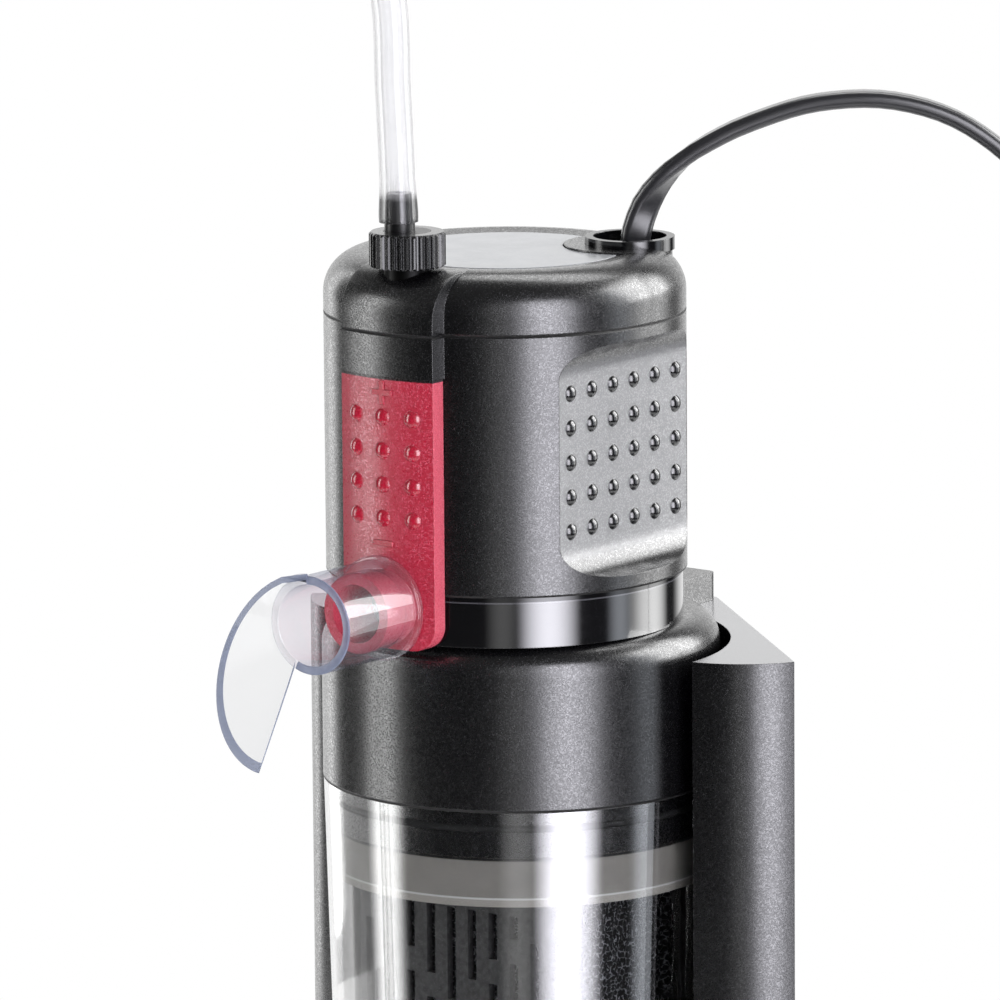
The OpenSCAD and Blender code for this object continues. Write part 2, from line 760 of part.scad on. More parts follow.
module impeller() {
    hub = 4;
    color([0.85, 0.85, 0.82]) at_head() difference() {
        union() {
            translate([0, 0, impeller_disc[0]])
                cylinder(r = impeller_r, h = impeller_disc[1] - impeller_disc[0]);
            translate([0, 0, impeller_low]) cylinder(r = hub, h = impeller_disc[0] - impeller_low);
            for (i = [0 : impeller_blades - 1]) rotate([0, 0, i * 360 / impeller_blades])
                translate([hub - 1, -blade_t / 2, impeller_low])
                    cube([impeller_r - hub + 0.8, blade_t, impeller_disc[0] - impeller_low]);
        }
        cylinder(r = shaft_r + run_gap, h = impeller_disc[1] + 1);
    }
}

module rotor_magnet() {
    color([0.2, 0.19, 0.18]) at_head() translate([0, 0, impeller_disc[1]])
        tube(rotor_r, shaft_r + run_gap, rotor_top - impeller_disc[1]);
}

module stator() {
    low = volute_top + cover_t;
    color([0.16, 0.16, 0.18]) at_head() difference() {
        translate([0, 0, low]) cylinder(r = stator_r, h = stator_top - low);
        translate([0, 0, low - 1]) cylinder(r = rotor_r + rotor_gap, h = bush_high[0] - low + 1);
        cylinder(r = bush_r + 0.03, h = bush_high[1]);
    }
}

module air_pipe() {
    low = outlet_z + outlet_bore_r + 0.2;
    color([0.1, 0.1, 0.1]) at_head() translate([pipe_at[0], pipe_at[1], low])
        tube(pipe_r, air_bore_r, foot_z[0] - low);
}

// ---------- head ----------

// Outline of a grip in x and z: a flat whose ends curve out to the shell
module grip_profile() {
    low = grip_mid - grip_h / 2;
    out = head_r + 2;
    for (z = [low + grip_scoop, low + grip_h - grip_scoop])
        translate([grip_x + grip_scoop, z]) circle(grip_scoop);
    translate([grip_x, low + grip_scoop]) square([out - grip_x, grip_h - 2 * grip_scoop]);
    translate([grip_x + grip_scoop, low]) square([out - grip_x, grip_h]);
}

module grip_cut() {
    intersection() {
        translate([0, grip_half, 0]) rotate([90, 0, 0]) linear_extrude(2 * grip_half) grip_profile();
        translate([0, 0, grip_mid]) rotate([90, 0, 90]) linear_extrude(head_r + 5)
            rounded_rect(2 * grip_half, grip_h, grip_corner);
    }
}

module grip_dots() {
    for (i = [0 : grip_dots[0] - 1], k = [0 : grip_dots[1] - 1])
        translate([
            grip_x,
            (i - (grip_dots[0] - 1) / 2) * dot_pitch,
            grip_mid + (k - (grip_dots[1] - 1) / 2) * dot_pitch
        ]) dot(dot_r);
}

// Space inside the shell: round, with a flat behind each grip
module shell_cavity() {
    inner = head_r - head_wall;
    difference() {
        translate([0, 0, neck_h - 1]) cylinder(r = inner, h = shell_h + 2);
        for (s = [0, 1]) mirror([s, 0, 0])
            translate([grip_x - head_wall, -head_r, inner_flat[0]])
                cube([head_r, 2 * head_r, inner_flat[1] - inner_flat[0]]);
    }
}

module head_shell() {
    color([0.16, 0.16, 0.17]) at_head() difference() {
        union() {
            difference() {
                union() {
                    translate([0, 0, neck_h]) cylinder(r = head_r, h = shell_h);
                    intersection() {
                        translate([0, 0, slider_top]) cylinder(r = slider_r, h = cap_z - slider_top);
                        front_slab(slider_top, cap_z);
                    }
                }
                for (s = [0, 1]) mirror([s, 0, 0]) grip_cut();
            }
            for (s = [0, 1]) mirror([s, 0, 0]) grip_dots();
        }
        shell_cavity();
        translate([-web_w / 2 - 0.25, -slider_r - 2, neck_h - 1])
            cube([web_w + 0.5, slab_depth, web_z[1] + 0.4 - neck_h + 1]);
        translate([0, slab_depth - slider_r, outlet_z]) rotate([90, 0, 0])
            cylinder(r = boss_r + 0.4, h = slab_depth + 2);
    }
}

module gland_place() { translate([gland_at[0], gland_at[1], 0]) children(); }

module cap() {
    inner = head_r - head_wall;
    disc_seat = disc_drop + disc_t;
    color([0.16, 0.16, 0.17]) at_head() difference() {
        union() {
            translate([0, 0, cap_z]) rotate_extrude() rounded_block(head_r, cap_h, cap_fillet);
            intersection() {
                translate([0, 0, cap_z]) rotate_extrude() rounded_block(slider_r, cap_h, column_fillet);
                front_slab(cap_z, top_z);
            }
            translate([0, 0, cap_z - cap_lip_h])
                cylinder(r = inner - seat_gap, h = cap_lip_h + 1);
            gland_place() translate([0, 0, cap_z + 3])
                cylinder(r = gland_r - 0.4, h = cap_h - 3 + gland_rise - gland_ring);
        }
        translate([0, 0, cap_z - cap_lip_h - 1])
            rotate_extrude() rounded_block(cap_inner, cap_h - head_wall + cap_lip_h + 1, cap_fillet - head_wall);
        difference() {
            union() {
                translate([0, 0, top_z - disc_seat]) cylinder(r = disc_r + slip_gap, h = disc_seat + 1);
                translate([0, 0, top_z - dish[1]])
                    cylinder(r1 = disc_r + slip_gap, r2 = disc_r + slip_gap + dish[0], h = dish[1] + eps);
            }
            gland_place() translate([0, 0, cap_z]) cylinder(r = pad_r, h = cap_h + 2);
        }
        gland_place() {
            translate([0, 0, cap_z - 1]) cylinder(r = gland_barrel_r + run_gap, h = cap_h + 5);
            translate([0, 0, ring_low]) cylinder(r = gland_r + run_gap, h = gland_ring);
        }
        translate([0, -knob_front, cap_z]) cylinder(r = barrel_r + run_gap, h = cap_h + 1);
    }
}

module top_disc() {
    color([0.75, 0.76, 0.77]) at_head() difference() {
        translate([0, 0, top_z - disc_drop - disc_t]) cylinder(r = disc_r, h = disc_t);
        gland_place() translate([0, 0, cap_z]) cylinder(r = pad_r + 0.2, h = cap_h + 1);
    }
}

module cable_gland() {
    color([0.12, 0.12, 0.12]) at_head() gland_place() difference() {
        union() {
            translate([0, 0, ring_low]) cylinder(r = gland_r, h = gland_ring);
            translate([0, 0, top_z - gland_depth]) cylinder(r = gland_barrel_r, h = gland_depth);
        }
        translate([0, 0, top_z - gland_depth - 1]) cylinder(r = gland_bore, h = gland_depth + 5);
    }
}

module strain_relief() {
    flange_z = top_z - gland_depth;
    base = relief_top - relief_len;
    color([0.08, 0.08, 0.08]) at_head() intersection() {
        translate([relief_at[0], relief_at[1], 0]) rotate_extrude() polygon([
            [0, base], [relief_r[0], base], [relief_r[1], flange_z - 2],
            [gland_barrel_r + 0.4, flange_z - 2], [gland_barrel_r + 0.4, flange_z],
            [relief_r[2], flange_z], [relief_r[3], relief_top], [0, relief_top]
        ]);
        cylinder(r = cap_inner - 0.2, h = top_z + gland_rise);
    }
}

// ---------- flow slider and nozzle ----------

// Front outline of the slider: square above, rounded below
module slider_outline() {
    translate([-slider_w / 2, slider_low + slider_corner])
        square([slider_w, slider_h - slider_corner]);
    translate([-slider_w / 2 + slider_corner, slider_low])
        square([slider_w - 2 * slider_corner, slider_h]);
    for (s = [-1, 1])
        translate([s * (slider_w / 2 - slider_corner), slider_low + slider_corner])
            circle(slider_corner);
}

module slider_dots() {
    for (i = [0 : slider_dots[0] - 1], k = [0 : slider_dots[1] - 1])
        let (x = (i - (slider_dots[0] - 1) / 2) * slider_dot_pitch[0])
        translate([0, 0, slider_dot_low + k * slider_dot_pitch[1]])
            rotate([0, 0, asin(x / slider_r) - 90]) translate([slider_r, 0, 0]) dot(1.5);
}

module slider_mark(height, both_bars) {
    long = mark_size[0];
    thin = mark_size[1];
    deep = mark_size[2] + 0.6;
    translate([0, -slider_r - mark_size[2] + deep / 2, height]) {
        cube([long, deep, thin], center = true);
        if (both_bars) cube([thin, deep, long], center = true);
    }
}

module flow_slider() {
    color([0.72, 0.16, 0.24]) at_head() difference() {
        union() {
            difference() {
                union() {
                    intersection() {
                        rotate([90, 0, 0]) linear_extrude(slider_r + 1) slider_outline();
                        translate([0, 0, slider_low]) cylinder(r = slider_r, h = slider_h);
                    }
                    slider_dots();
                    slider_mark(mark_z[0], true);
                    slider_mark(mark_z[1], false);
                }
                translate([0, 0, slider_low - 1]) cylinder(r = slider_back_r, h = slider_h + 2);
            }
            translate([-web_w / 2, -slider_back_r - 0.5, web_z[0]])
                cube([web_w, slider_back_r + 1 - flange_r, web_z[1] - web_z[0]]);
            intersection() {
                translate([0, 0, web_z[0]]) tube(flange_r, flange_r - flange_t, web_z[1] - web_z[0]);
                translate([-flange_w / 2, -head_r, web_z[0]]) cube([flange_w, head_r, web_z[1] - web_z[0]]);
            }
            translate([0, -slider_back_r - 1, outlet_z]) rotate([90, 0, 0])
                cylinder(r = outlet_r, h = spigot_front - slider_back_r - 1);
            translate([0, -spigot_front + spigot_lip[1], outlet_z]) rotate([90, 0, 0])
                cylinder(r = outlet_r + spigot_lip[0], h = spigot_lip[1]);
        }
        translate([0, 0, outlet_z]) rotate([90, 0, 0]) cylinder(r = outlet_bore_r, h = spigot_front + 1);
    }
}

// Half space behind the scoop's rim plane
module behind_rim() {
    translate([0, 0, nozzle_front + rim_forward]) rotate([-rim_lean, 0, 0])
        translate([-half_space / 2, -half_space / 2, -half_space]) cube(half_space);
}

// Half space on the scoop's closed side
module scoop_side() {
    translate([side_point[0], side_point[1], nozzle_front + side_point[2]])
        rotate([0, side_turn, -side_lean]) 
            translate([-half_space, -half_space / 2, -half_space / 2]) cube(half_space);
}

module nozzle() {
    skin_r = scoop_wall * sqrt(1 + scoop_flare * scoop_flare);
    tube_h = nozzle_front - nozzle_rear;
    color([0.85, 0.88, 0.92, 0.35]) at_outlet() difference() {
        union() {
            translate([0, 0, nozzle_rear]) cylinder(r = nozzle_r, h = tube_h);
            translate([0, 0, nozzle_rear]) cylinder(r = nozzle_r + nozzle_lip[0], h = nozzle_lip[1]);
            intersection() {
                translate([0, 0, nozzle_front]) rotate_extrude() polygon([
                    [nozzle_r - skin_r, 0], [nozzle_r - skin_r, -1], [nozzle_r, -1], [nozzle_r, 0],
                    [nozzle_r + scoop_flare * scoop_reach, scoop_reach],
                    [nozzle_r + scoop_flare * scoop_reach - skin_r, scoop_reach]
                ]);
                behind_rim();
                scoop_side();
            }
        }
        translate([0, 0, nozzle_rear + bead[0]]) cylinder(r = nozzle_bore_r, h = tube_h + 1);
        translate([0, 0, nozzle_rear - 1]) cylinder(r = bead[1], h = bead[0] + 2);
    }
}

// ---------- air control ----------

module at_knob() { at_head() translate([0, -knob_front, 0]) children(); }

module air_nipple() {
    color([0.07, 0.07, 0.07]) at_knob() difference() {
        union() {
            translate([0, 0, foot_z[0]]) cylinder(r = barrel_r, h = knob_top - foot_z[0]);
            translate([-1.8, knob_front + pipe_at[1] - 1.2, foot_z[0]])
                cube([3.6, 3.2, foot_z[1] - foot_z[0]]);
            translate([stem_off[0], stem_off[1], knob_top - 1]) cylinder(r = stem_r, h = stem_h + 1);
            translate([stem_off[0], stem_off[1], knob_top + stem_h])
                cylinder(r1 = barb[0], r2 = barb[1], h = barb[2]);
        }
        translate([stem_off[0], stem_off[1], foot_z[0] + 2])
            cylinder(r = air_bore_r, h = knob_top + stem_h + barb[2] - foot_z[0]);
        translate([0, knob_front + pipe_at[1], foot_z[0] - 1]) cylinder(r = air_bore_r, h = 4);
        translate([stem_off[0], stem_off[1], foot_z[0] + 2]) rotate([-90, 0, 0]) cylinder(r = air_bore_r, h = 3.5);
    }
}

module air_knob() {
    rib_step = 360 / knob_ribs;
    color([0.12, 0.12, 0.12]) at_knob() translate([0, 0, knob_low]) difference() {
        intersection() {
            linear_extrude(knob_h) polygon([
                for (i = [0 : knob_ribs - 1], k = [0 : 3])
                    let (r = k < 2 ? knob_r : knob_r - rib_depth, a = (i + k / 4) * rib_step)
                    [r * cos(a), r * sin(a)]
            ]);
            rotate_extrude() polygon([
                [0, 0], [knob_r - 0.3, 0], [knob_r + 0.1, 0.4],
                [knob_r + 0.1, knob_h - 0.5], [knob_r - 0.4, knob_h], [0, knob_h]
            ]);
        }
        translate([0, 0, -1]) cylinder(r = barrel_r + run_gap, h = knob_h + 2);
    }
}

module air_hose() {
    path = curve(hose_route, 2.7 * hose_d);
    side = [for (p = path) [-6, 8, 0.1]];
    echo("hose_length_mm", path_length(path));
    color([0.85, 0.87, 0.88, 0.5])
        skin([for (i = [0 : len(path) - 1]) ring(path, side, i, hose_d, hose_d, 8)]);
}

module air_intake() {
    start = hose_route[len(hose_route) - 1];
    color([0.12, 0.12, 0.12]) translate([start[0], start[1], intake_end_r]) rotate([-90, 0, 0])
        difference() {
            cylinder(r = intake_end_r, h = intake_len);
            translate([0, 0, 4]) cylinder(r = intake_end_r - 1.2, h = intake_len);
            for (a = [0, 60, 120]) rotate([0, 0, a])
                translate([-intake_end_r - 1, -0.75, 7]) cube([2 * intake_end_r + 2, 1.5, intake_len - 10]);
        }
}

// ---------- lead, coil and plug ----------

module power_cable() {
    color([0.06, 0.06, 0.06]) {
        flat_lead("lead_to_coil_mm", lead_start);
        flat_lead("lead_to_plug_mm", lead_end);
    }
}

module cable_coil() {
    up = [for (p = coil_path) [0, 0, 1]];
    echo("coil_gap_mm", coil_gap());
    echo("coil_length_mm", path_length(coil_path));
    color([0.06, 0.06, 0.06])
        skin([for (i = [0 : len(coil_path) - 1]) ring(coil_path, up, i, lead_w, lead_t, coil_sides)]);
}

module cable_tie() {
    r_in = coil_out_r - coil_half * coil_pitch - lead_t / 2 + coil_pitch / 2;
    r_out = coil_out_r + lead_t / 2 - coil_pitch / 2;
    tall = coil_layer + lead_w + 0.2;
    color([0.08, 0.08, 0.08]) translate([coil_at[0] + r_in - tie_t, coil_at[1] - tie_w / 2, 0]) difference() {
        cube([r_out - r_in + 2 * tie_t, tie_w, tall + tie_t]);
        translate([tie_t, -1, tie_t]) cube([r_out - r_in, tie_w + 2, tall - tie_t]);
    }
}

module plug_outline(shrink) {
    w = plug_size[0] - 2 * shrink;
    nose = plug_size[0] / 2;
    polygon([
        [-w / 2, -plug_size[1]], [w / 2, -plug_size[1]],
        [w / 2, -nose], [4.5, 0], [-4.5, 0], [-w / 2, -nose]
    ]);
}

module plug_body() {
    color([0.06, 0.06, 0.06]) translate([plug_at[0], plug_at[1], 0])
        difference() {
            linear_extrude(plug_size[2]) plug_outline(0);
            for (s = [-1, 1]) translate([s * pin_gap / 2, -plug_size[1] + pin_root + 1, plug_size[2] / 2])
                rotate([90, 0, 0]) cylinder(r = pin_r, h = 10);
        }
}

module plug_pins() {
    color([0.8, 0.8, 0.78]) for (s = [-1, 1])
        translate([plug_at[0] + s * pin_gap / 2, plug_at[1] - plug_size[1] + pin_root + 1, plug_size[2] / 2])
            rotate([90, 0, 0]) {
                cylinder(r = pin_r - 0.02, h = pin_len + pin_root);
                translate([0, 0, pin_len + pin_root]) cylinder(r1 = pin_r - 0.02, r2 = pin_r - 1, h = 1);
            }
}

holder();
suction_cups();
jar();
collar();
collar_seal();
upper_cartridge_rim();
upper_cartridge();
upper_foam();
lower_cartridge_rim();
lower_cartridge();
lower_foam();
neck();
neck_seal();
volute_cover();
lower_bush();
upper_bush();
shaft();
impeller();
rotor_magnet();
stator();
air_pipe();
head_shell();
cap();
top_disc();
cable_gland();
strain_relief();
flow_slider();
nozzle();
air_nipple();
air_knob();
air_hose();
air_intake();
power_cable();
cable_coil();
cable_tie();
plug_body();
plug_pins();
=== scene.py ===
import math

import bmesh
import bpy
import numpy as np
from mathutils import Matrix, Vector

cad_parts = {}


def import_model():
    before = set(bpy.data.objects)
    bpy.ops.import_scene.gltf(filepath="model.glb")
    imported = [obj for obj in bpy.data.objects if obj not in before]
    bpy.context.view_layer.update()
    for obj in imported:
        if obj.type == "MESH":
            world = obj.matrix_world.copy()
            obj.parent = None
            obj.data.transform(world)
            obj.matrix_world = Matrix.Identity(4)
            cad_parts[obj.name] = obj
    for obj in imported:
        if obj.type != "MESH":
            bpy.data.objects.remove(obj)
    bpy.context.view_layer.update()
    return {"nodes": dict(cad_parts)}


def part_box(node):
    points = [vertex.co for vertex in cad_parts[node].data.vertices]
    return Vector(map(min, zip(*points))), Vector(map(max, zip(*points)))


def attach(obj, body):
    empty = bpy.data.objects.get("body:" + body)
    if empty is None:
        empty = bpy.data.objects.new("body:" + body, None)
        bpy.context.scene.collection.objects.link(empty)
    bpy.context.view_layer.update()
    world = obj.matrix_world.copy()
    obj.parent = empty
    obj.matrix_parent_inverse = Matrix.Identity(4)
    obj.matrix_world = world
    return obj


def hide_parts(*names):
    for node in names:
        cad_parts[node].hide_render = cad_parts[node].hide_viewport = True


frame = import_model()
nodes = frame["nodes"]

MM = 0.001
HEAD = 178.3  # top of the collar, where the pump head stands, in mm
FRONT = math.radians(37.7)  # the studio's front side, turned from -Y towards +X
scene = bpy.context.scene


# ---------- shader values ----------


class Value:
    """A shader value or colour; sums and products of values add the Math nodes."""

    def __init__(self, tree, socket):
        self.tree, self.socket = tree, socket

    def _math(self, operation, *values):
        node = self.tree.nodes.new("ShaderNodeMath")
        node.operation = operation
        for i, value in enumerate(values):
            put(self.tree, node.inputs[i], value)
        return Value(self.tree, node.outputs[0])

    def __add__(self, other):
        return self._math("ADD", self, other)

    __radd__ = __add__

    def __sub__(self, other):
        return self._math("SUBTRACT", self, other)

    def __rsub__(self, other):
        return self._math("SUBTRACT", other, self)

    def __mul__(self, other):
        return self._math("MULTIPLY", self, other)

    __rmul__ = __mul__

    def __gt__(self, other):
        return self._math("GREATER_THAN", self, other)

    def __lt__(self, other):
        return self._math("LESS_THAN", self, other)

    def __pow__(self, other):
        return self._math("POWER", self, other)

    def least(self, other):
        return self._math("MINIMUM", self, other)

    def most(self, other):
        return self._math("MAXIMUM", self, other)

    def between(self, low, high):
        """0 below low, 1 above high, smooth between."""
        node = self.tree.nodes.new("ShaderNodeMapRange")
        node.interpolation_type = "SMOOTHSTEP"
        for name, value in (("Value", self), ("From Min", low), ("From Max", high)):
            put(self.tree, node.inputs[name], value)
        return Value(self.tree, node.outputs[0])


def put(tree, socket, value):
    """Links a value to a socket, or sets the socket."""
    if isinstance(value, Value):
        tree.links.new(value.socket, socket)
    elif isinstance(value, (tuple, list)) and len(value) == 3 and socket.type == "RGBA":
        socket.default_value = (*value, 1)
    else:
        socket.default_value = value


def split(tree, vector):
    """The three parts of a vector."""
    made = tree.nodes.new("ShaderNodeSeparateXYZ")
    put(tree, made.inputs[0], vector)
    return [Value(tree, made.outputs[i]) for i in range(3)]


def ray_kinds(tree):
    """1 on camera rays, on glossy rays and on transmission rays."""
    paths = tree.nodes.new("ShaderNodeLightPath")
    return [Value(tree, paths.outputs[f"Is {kind} Ray"]) for kind in ("Camera", "Glossy", "Transmission")]


def srgb(*channels):
    """Linear colour from 0-255 screen values."""
    return tuple(((c / 255 + 0.055) / 1.055) ** 2.4 if c > 10 else c / 255 / 12.92 for c in channels)


class Finish:
    """A material under construction."""

    def __init__(self, name):
        self.material = bpy.data.materials.new(name)
        self.material.use_nodes = True
        self.tree = self.material.node_tree
        self.tree.nodes.clear()
        self.out = self.tree.nodes.new("ShaderNodeOutputMaterial")

    def node(self, kind, settings=None, output=0, **sockets):
        """Any node: its settings first, then the values or links of its sockets."""
        made = self.tree.nodes.new("ShaderNode" + kind)
        for name, value in (settings or {}).items():
            setattr(made, name, value)
        for name, value in sockets.items():
            put(self.tree, made.inputs[name.replace("_", " ")], value)
        return Value(self.tree, made.outputs[output])

    @property
    def place(self):
        return self.node("TexCoord", output="Object")

    def axes(self):
        """x, y and z of the shaded point, in metres."""
        return split(self.tree, self.place)

    def facing(self):
        """x, y and z of the surface's direction."""
        return split(self.tree, self.node("NewGeometry", output="Normal"))

    def stretched(self, x, y, z):
        """The place, with its grains drawn out along the axes of low scale."""
        made = self.tree.nodes.new("ShaderNodeMapping")
        put(self.tree, made.inputs["Vector"], self.place)
        made.inputs["Scale"].default_value = (x, y, z)
        return Value(self.tree, made.outputs[0])

    def noise(self, size, detail=2.0, rough=0.5, at=None):
        """Noise whose grains are about size millimetres."""
        scale = 1 / (size * MM)
        return self.node("TexNoise", Vector=at or self.place, Scale=scale, Detail=detail, Roughness=rough)

    def cells(self, size, feature="F1", at=None, output=0):
        """Cells about size millimetres wide; output 1 gives each its own random colour."""
        scale = 1 / (size * MM)
        return self.node("TexVoronoi", {"feature": feature}, output, Vector=at or self.place, Scale=scale)

    def mix(self, factor, a, b):
        """Colour a where the factor is 0, colour b where it is 1."""
        made = self.tree.nodes.new("ShaderNodeMix")
        made.data_type = "RGBA"
        for socket, value in ((0, factor), (6, a), (7, b)):
            put(self.tree, made.inputs[socket], value)
        return Value(self.tree, made.outputs[2])

    def edge(self, radius=0.22):
        """Normal that rounds off sharp edges."""
        return self.node("Bevel", {"samples": 4}, Radius=radius * MM)

    def bump(self, height, distance, strength=1.0, normal=None):
        sockets = {"Height": height, "Distance": distance * MM, "Strength": strength}
        if normal:
            sockets["Normal"] = normal
        return self.node("Bump", **sockets)

    def surface(self, **sockets):
        return self.node("BsdfPrincipled", **sockets)

    def air(self, colour=(1, 1, 1)):
        """Lets everything behind it through, tinted."""
        return self.node("BsdfTransparent", Color=colour)

    def mix_shader(self, factor, a, b):
        made = self.tree.nodes.new("ShaderNodeMixShader")
        for i, value in enumerate((factor, a, b)):
            put(self.tree, made.inputs[i], value)
        return Value(self.tree, made.outputs[0])

    def done(self, shader):
        self.tree.links.new(shader.socket, self.out.inputs[0])
        return self.material


# ---------- camera, world, lamps and floor ----------


def rearward(x, y):
    """How far a place or direction lies towards the back of the studio."""
    return x * -math.sin(FRONT) + y * math.cos(FRONT)


def around(angle, distance, height):
    """A place at an angle in degrees to the right of the studio's front."""
    a = math.radians(angle - 90) + FRONT
    return (distance * math.cos(a), distance * math.sin(a), height)


def set_camera():
    elevation, roll = math.radians(10.5), math.radians(0.45)
    distance, focal = 1.546, 9.0  # metres, and focal length in image heights
    aside, raised = 0.0072, 0.1136  # the view's middle off the collar's top, in image heights
    level = math.cos(elevation)
    forward = Vector((-math.sin(FRONT) * level, math.cos(FRONT) * level, -math.sin(elevation)))
    flat = Vector((math.cos(FRONT), math.sin(FRONT), 0))
    upright = flat.cross(forward)
    right = flat * math.cos(roll) - upright * math.sin(roll)
    up = flat * math.sin(roll) + upright * math.cos(roll)
    data = bpy.data.cameras.new("camera")
    data.sensor_width, data.lens = 36, 36 * focal
    data.clip_start, data.clip_end = 0.05, 50
    camera = bpy.data.objects.new("camera", data)
    scene.collection.objects.link(camera)
    camera.matrix_world = Matrix((right, up, -forward)).transposed().to_4x4()
    off_centre = (up * raised - right * aside) * (distance / focal)
    camera.location = Vector((0, 0, HEAD * MM)) - forward * distance + off_centre
    scene.camera = camera


def studio():
    """White backdrop behind the object, and a dim room in front of it."""
    world = bpy.data.worlds.new("studio")
    scene.world = world
    world.use_nodes = True
    tree = world.node_tree
    tree.nodes.clear()
    seen, glossy, through = ray_kinds(tree)
    x, y, z = split(tree, Value(tree, tree.nodes.new("ShaderNodeTexCoord").outputs["Generated"]))
    behind = rearward(x, y)
    room_light = 0.16  # what lights matt surfaces from all sides
    mirrored = behind.between(0.72, 0.9) * 0.97 + z.between(0.1, 0.9) * 0.08 + 0.02
    level = glossy * mirrored + (1 - glossy) * room_light
    level = (1 - seen) * level + seen
    level = (1 - through) * level + through * behind.between(-0.3, 0.1)
    background = tree.nodes.new("ShaderNodeBackground")
    put(tree, background.inputs["Color"], (1, 1, 1))
    put(tree, background.inputs["Strength"], level)
    out = tree.nodes.new("ShaderNodeOutputWorld")
    tree.links.new(background.outputs[0], out.inputs[0])


def lamp(name, place, target, size, power, colour=(1, 1, 1)):
    data = bpy.data.lights.new(name, "AREA")
    data.shape = "RECTANGLE"
    data.size, data.size_y = size
    data.energy = power
    data.color = colour
    made = bpy.data.objects.new(name, data)
    scene.collection.objects.link(made)
    made.location = place
    made.rotation_euler = (Vector(target) - Vector(place)).to_track_quat("-Z", "Y").to_euler()
    return made


def softbox(name, angle, distance, width, low, high, brightness, colour=(1, 1, 1)):
    """Upright panel at an angle to the right of the front, brightest along its middle."""
    height = high - low
    place = around(angle, distance, (low + high) / 2)
    made = lamp(name, place, (0, 0, place[2]), (width, height), math.pi * width * height, colour)
    made.data.use_nodes = True
    tree = made.data.node_tree
    glow = next(n for n in tree.nodes if n.type == "EMISSION")
    across = split(tree, Value(tree, tree.nodes.new("ShaderNodeNewGeometry").outputs["Parametric"]))[0]
    off = across * 2 - 1
    put(tree, glow.inputs["Strength"], (1 - off * off).most(0) ** 1.5 * brightness)


def floor():
    """Pale floor that keeps the object's shadow and turns white towards its rim."""
    finish = Finish("pale floor")
    x, y, _ = finish.axes()
    far = (x * x + y * y).between(0.05, 0.17)
    behind = rearward(x, y).between(0.0, 0.1)
    colour = finish.mix(finish.noise(6, 3), (0.8, 0.8, 0.8), (0.84, 0.84, 0.84))
    plain = finish.surface(Base_Color=colour, Roughness=0.7, Specular_IOR_Level=0.2)
    white = finish.node("Emission", Color=(1, 1, 1))
    seen, glossy, through = ray_kinds(finish.tree)
    shown = finish.mix_shader(far * (seen + (glossy + through) * behind).least(1), plain, white)
    left_out = (far * 4).least(1) * (glossy + through).least(1) * (1 - behind)
    material = finish.done(finish.mix_shader(left_out, shown, finish.air()))
    radius, corners = 0.46, 64
    turns = [math.tau * i / corners for i in range(corners)]
    rim = [(radius * math.cos(a), radius * math.sin(a), 0) for a in turns]
    mesh = bpy.data.meshes.new("floor")
    mesh.from_pydata(rim, [], [tuple(range(corners))])
    mesh.materials.append(material)
    made = bpy.data.objects.new("floor", mesh)
    scene.collection.objects.link(made)


set_camera()
scene.view_settings.view_transform = "Standard"
studio()
softbox("key panel", 27, 1.15, 0.92, -0.25, 1.0, 6.6, (0.98, 0.97, 1.05))
softbox("front fill panel", -3, 1.4, 0.6, -0.3, 1.0, 0.5)
softbox("left panel", -88, 1.2, 0.62, -0.25, 1.0, 5.0)
softbox("left back panel", -142, 1.3, 0.5, -0.2, 1.0, 2.2)
softbox("right panel", 106, 1.2, 1.0, -0.25, 1.2, 3.6)
softbox("right front panel", 78, 1.2, 0.5, -0.25, 1.2, 1.3, (0.94, 0.99, 1.08))
lamp("top panel", (-0.1, 0.5, 1.3), (0, 0, 0.25), (0.9, 0.5), 5)
lamp("upper right panel", around(106, 1.0, 0.7), (0, 0, 0.24), (0.9, 0.8), 11)
floor()


# ---------- places that the finishes follow, in mm ----------

NECK_TOP = HEAD + 8.7  # the shell stands here on the neck
SHELL_TOP = NECK_TOP + 44.6  # the cap stands here on the shell
COLLAR_LINE = 150.15  # joint line round the collar's foot
GRIP_R = 30.9  # the grip flats lie inside the shell's round wall
GRIP_SIDE, DOT_SIDE = 25.1, 25.26  # the flat and its dots, from the middle plane
GRIP_LOW, GRIP_HIGH = 189.3, 229.6
DOTS_LOW, DOTS_HIGH = 196.1, 222.8
SLIDER_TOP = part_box("flow_slider")[1][2] / MM
SLIDER_DOTS_LOW = HEAD + 15.5
SLIDER_RISE = 0.12  # least height of the slider's dots and marks over its face
COLUMN_R = -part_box("cap")[0][1] / MM  # the cap's column, whose curve the slider's face keeps
NOZZLE_FRONT = 54.0  # the nozzle's tube ends and its scoop starts here, in front of the axis
NIPPLE_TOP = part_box("air_nipple")[1][2] / MM
KNOB_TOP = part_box("air_knob")[1][2] / MM
RIM_TOPS = [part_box(level + "_cartridge_rim")[1][2] / MM for level in ("upper", "lower")]
RIM_LIP, RIM_SKIRT = 7.2, 12  # foot of the rim's lip and of the skirt under it, below its top


# ---------- finishes ----------


def within(value, low, high):
    """1 where a length is between two sizes in mm, 0 elsewhere."""
    return (value > low * MM) * (value < high * MM)


def groove(z, place, width=0.34):
    """1 in the middle of a joint line at that height, 0 beside it."""
    off = (z - place * MM) * (1 / (width * MM))
    return (1 - off.most(off * -1)).most(0)


